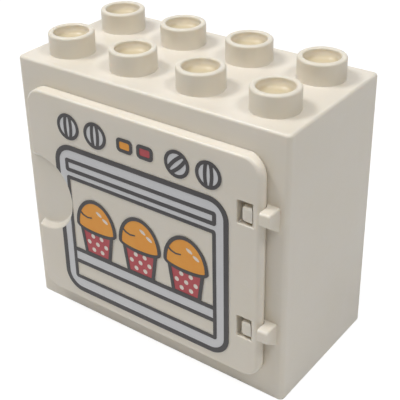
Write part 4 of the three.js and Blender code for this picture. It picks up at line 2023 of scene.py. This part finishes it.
def direction(azimuth: float, elevation: float) -> Vector:
    """A unit vector from the oven outwards.

    Args:
        azimuth: Angle in degrees from the front towards the right.
        elevation: Angle in degrees above the floor.

    Returns:
        The vector.
    """
    turn = math.radians(azimuth)
    rise = math.radians(elevation)
    return Vector((math.sin(turn) * math.cos(rise), -math.cos(turn) * math.cos(rise), math.sin(rise)))


@dataclass(frozen=True)
class Softbox:
    """A round studio lamp that faces the oven. Its power is in watts, its size and distance in metres."""

    name: str
    azimuth: float
    elevation: float
    power: float
    size: float
    distance: float = 0.7
    target: Triple = (0.0, 0.0, 0.03)

    def build(self) -> None:
        """Puts the lamp into the scene."""
        away = direction(self.azimuth, self.elevation)
        data = bpy.data.lights.new(self.name, "AREA")
        data.shape = "DISK"
        data.size = self.size
        data.energy = self.power
        lamp = bpy.data.objects.new(self.name, data)
        lamp.location = Vector(self.target) + away * self.distance
        lamp.rotation_euler = (-away).to_track_quat("-Z", "Y").to_euler()
        bpy.context.scene.collection.objects.link(lamp)


@dataclass
class Studio:
    """The camera at the photo's angle, soft lamps on both sides and a plain white floor.

    Angles are in degrees. The camera's place, lens and sensor are in millimetres, the rest in metres.
    """

    azimuth: float = 38.61
    elevation: float = 28.61
    roll: float = -2.04
    camera_place: Triple = (100.68, -132.19, 127.78)
    lens: float = 83.768
    sensor: float = 36.0
    shift: Point = (0.075, -0.10)
    clip: Point = (0.01, 20.0)
    floor_size: float = 3.0
    floor_colour: Colour = (0.82, 0.82, 0.82)
    floor_seen_colour: Colour = (0.25, 0.25, 0.25)
    floor_glow: float = 0.88
    lamps: tuple[Softbox, ...] = (
        Softbox("left_key", -58.0, 60.0, 2.35, 0.24),
        Softbox("overhead", 0.0, 89.0, 0.72, 0.30),
        Softbox("right_key", 90.0, 58.0, 1.42, 0.20),
        Softbox("front_fill", 30.0, 54.0, 0.80, 0.30),
    )
    sky_strength: float = 0.03

    def build_camera(self) -> None:
        """Makes the camera and gives it to the scene."""
        lean = math.radians(self.roll)
        back = direction(self.azimuth, self.elevation)
        level = Vector((0, 0, 1)).cross(back).normalized()
        upright = back.cross(level)
        right = level * math.cos(lean) + upright * math.sin(lean)
        up = upright * math.cos(lean) - level * math.sin(lean)
        data = bpy.data.cameras.new("camera")
        data.lens = self.lens
        data.sensor_width = self.sensor
        data.shift_x, data.shift_y = self.shift
        data.clip_start, data.clip_end = self.clip
        camera = bpy.data.objects.new("camera", data)
        place_m = Vector(self.camera_place) * MM
        camera.matrix_world = Matrix.Translation(place_m) @ Matrix((right, up, back)).transposed().to_4x4()
        bpy.context.scene.collection.objects.link(camera)
        bpy.context.scene.camera = camera

    def build_light(self) -> None:
        """Makes the lamps and the sky."""
        for lamp in self.lamps:
            lamp.build()
        world = bpy.data.worlds.new("studio")
        bpy.context.scene.world = world
        sheet = ShaderSheet(world)
        sky, white = [
            sheet.add("ShaderNodeBackground", {"Color": opaque(WHITE), "Strength": strength}).outputs[0]
            for strength in (self.sky_strength, 1.0)
        ]
        sheet.add("ShaderNodeOutputWorld", {"Surface": sheet.seen_or_lit(white, sky)})

    def build_floor(self) -> None:
        """Makes the floor, which looks white to the camera and keeps the oven's shadow."""
        half = self.floor_size / 2
        mesh = bpy.data.meshes.new("floor")
        mesh.from_pydata([(-half, -half, 0), (half, -half, 0), (half, half, 0), (-half, half, 0)], [],
                         [(0, 1, 2, 3)])
        floor = new_object("floor", mesh)
        sheet = ShaderSheet(bpy.data.materials.new("white_floor"))
        real, shaded = [
            sheet.add("ShaderNodeBsdfDiffuse", {"Color": opaque(colour)}).outputs[0]
            for colour in (self.floor_colour, self.floor_seen_colour)
        ]
        glow = sheet.add("ShaderNodeEmission", {"Color": opaque(WHITE), "Strength": self.floor_glow})
        seen = sheet.add("ShaderNodeAddShader", {0: shaded, 1: glow.outputs[0]}).outputs[0]
        sheet.add("ShaderNodeOutputMaterial", {"Surface": sheet.seen_or_lit(seen, real)})
        mesh.materials.append(sheet.owner)

    def build(self) -> None:
        """Makes the whole studio."""
        self.build_camera()
        self.build_light()
        self.build_floor()
        bpy.context.scene.view_settings.view_transform = "Standard"
        log.info("studio: camera, %d lamps and floor", len(self.lamps))


def main() -> None:
    """Builds the oven piece by piece, then the studio."""
    logging.basicConfig(level=logging.INFO, format="%(name)s: %(message)s")
    Studio().build()
    grid = BrickGrid()
    plan = DoorPlan(grid)
    plastic = MouldedPlastic().build()
    Cabinet(grid, plan).build(plastic)
    scoop = FingerScoop(plan)
    OvenDoor(plan, scoop).build(plastic)
    bed = PrintBed(plan, {slot: ink.build() for slot, ink in INKS.items()})
    oven = OvenFrontPrint(bed, scoop)
    muffins = MuffinRow(bed, oven)
    oven.build([muffins.case(index) for index in range(muffins.count)])
    KnobRow(bed).build()
    LampPair(bed).build()
    muffins.build()


if __name__ == "__main__":
    main()
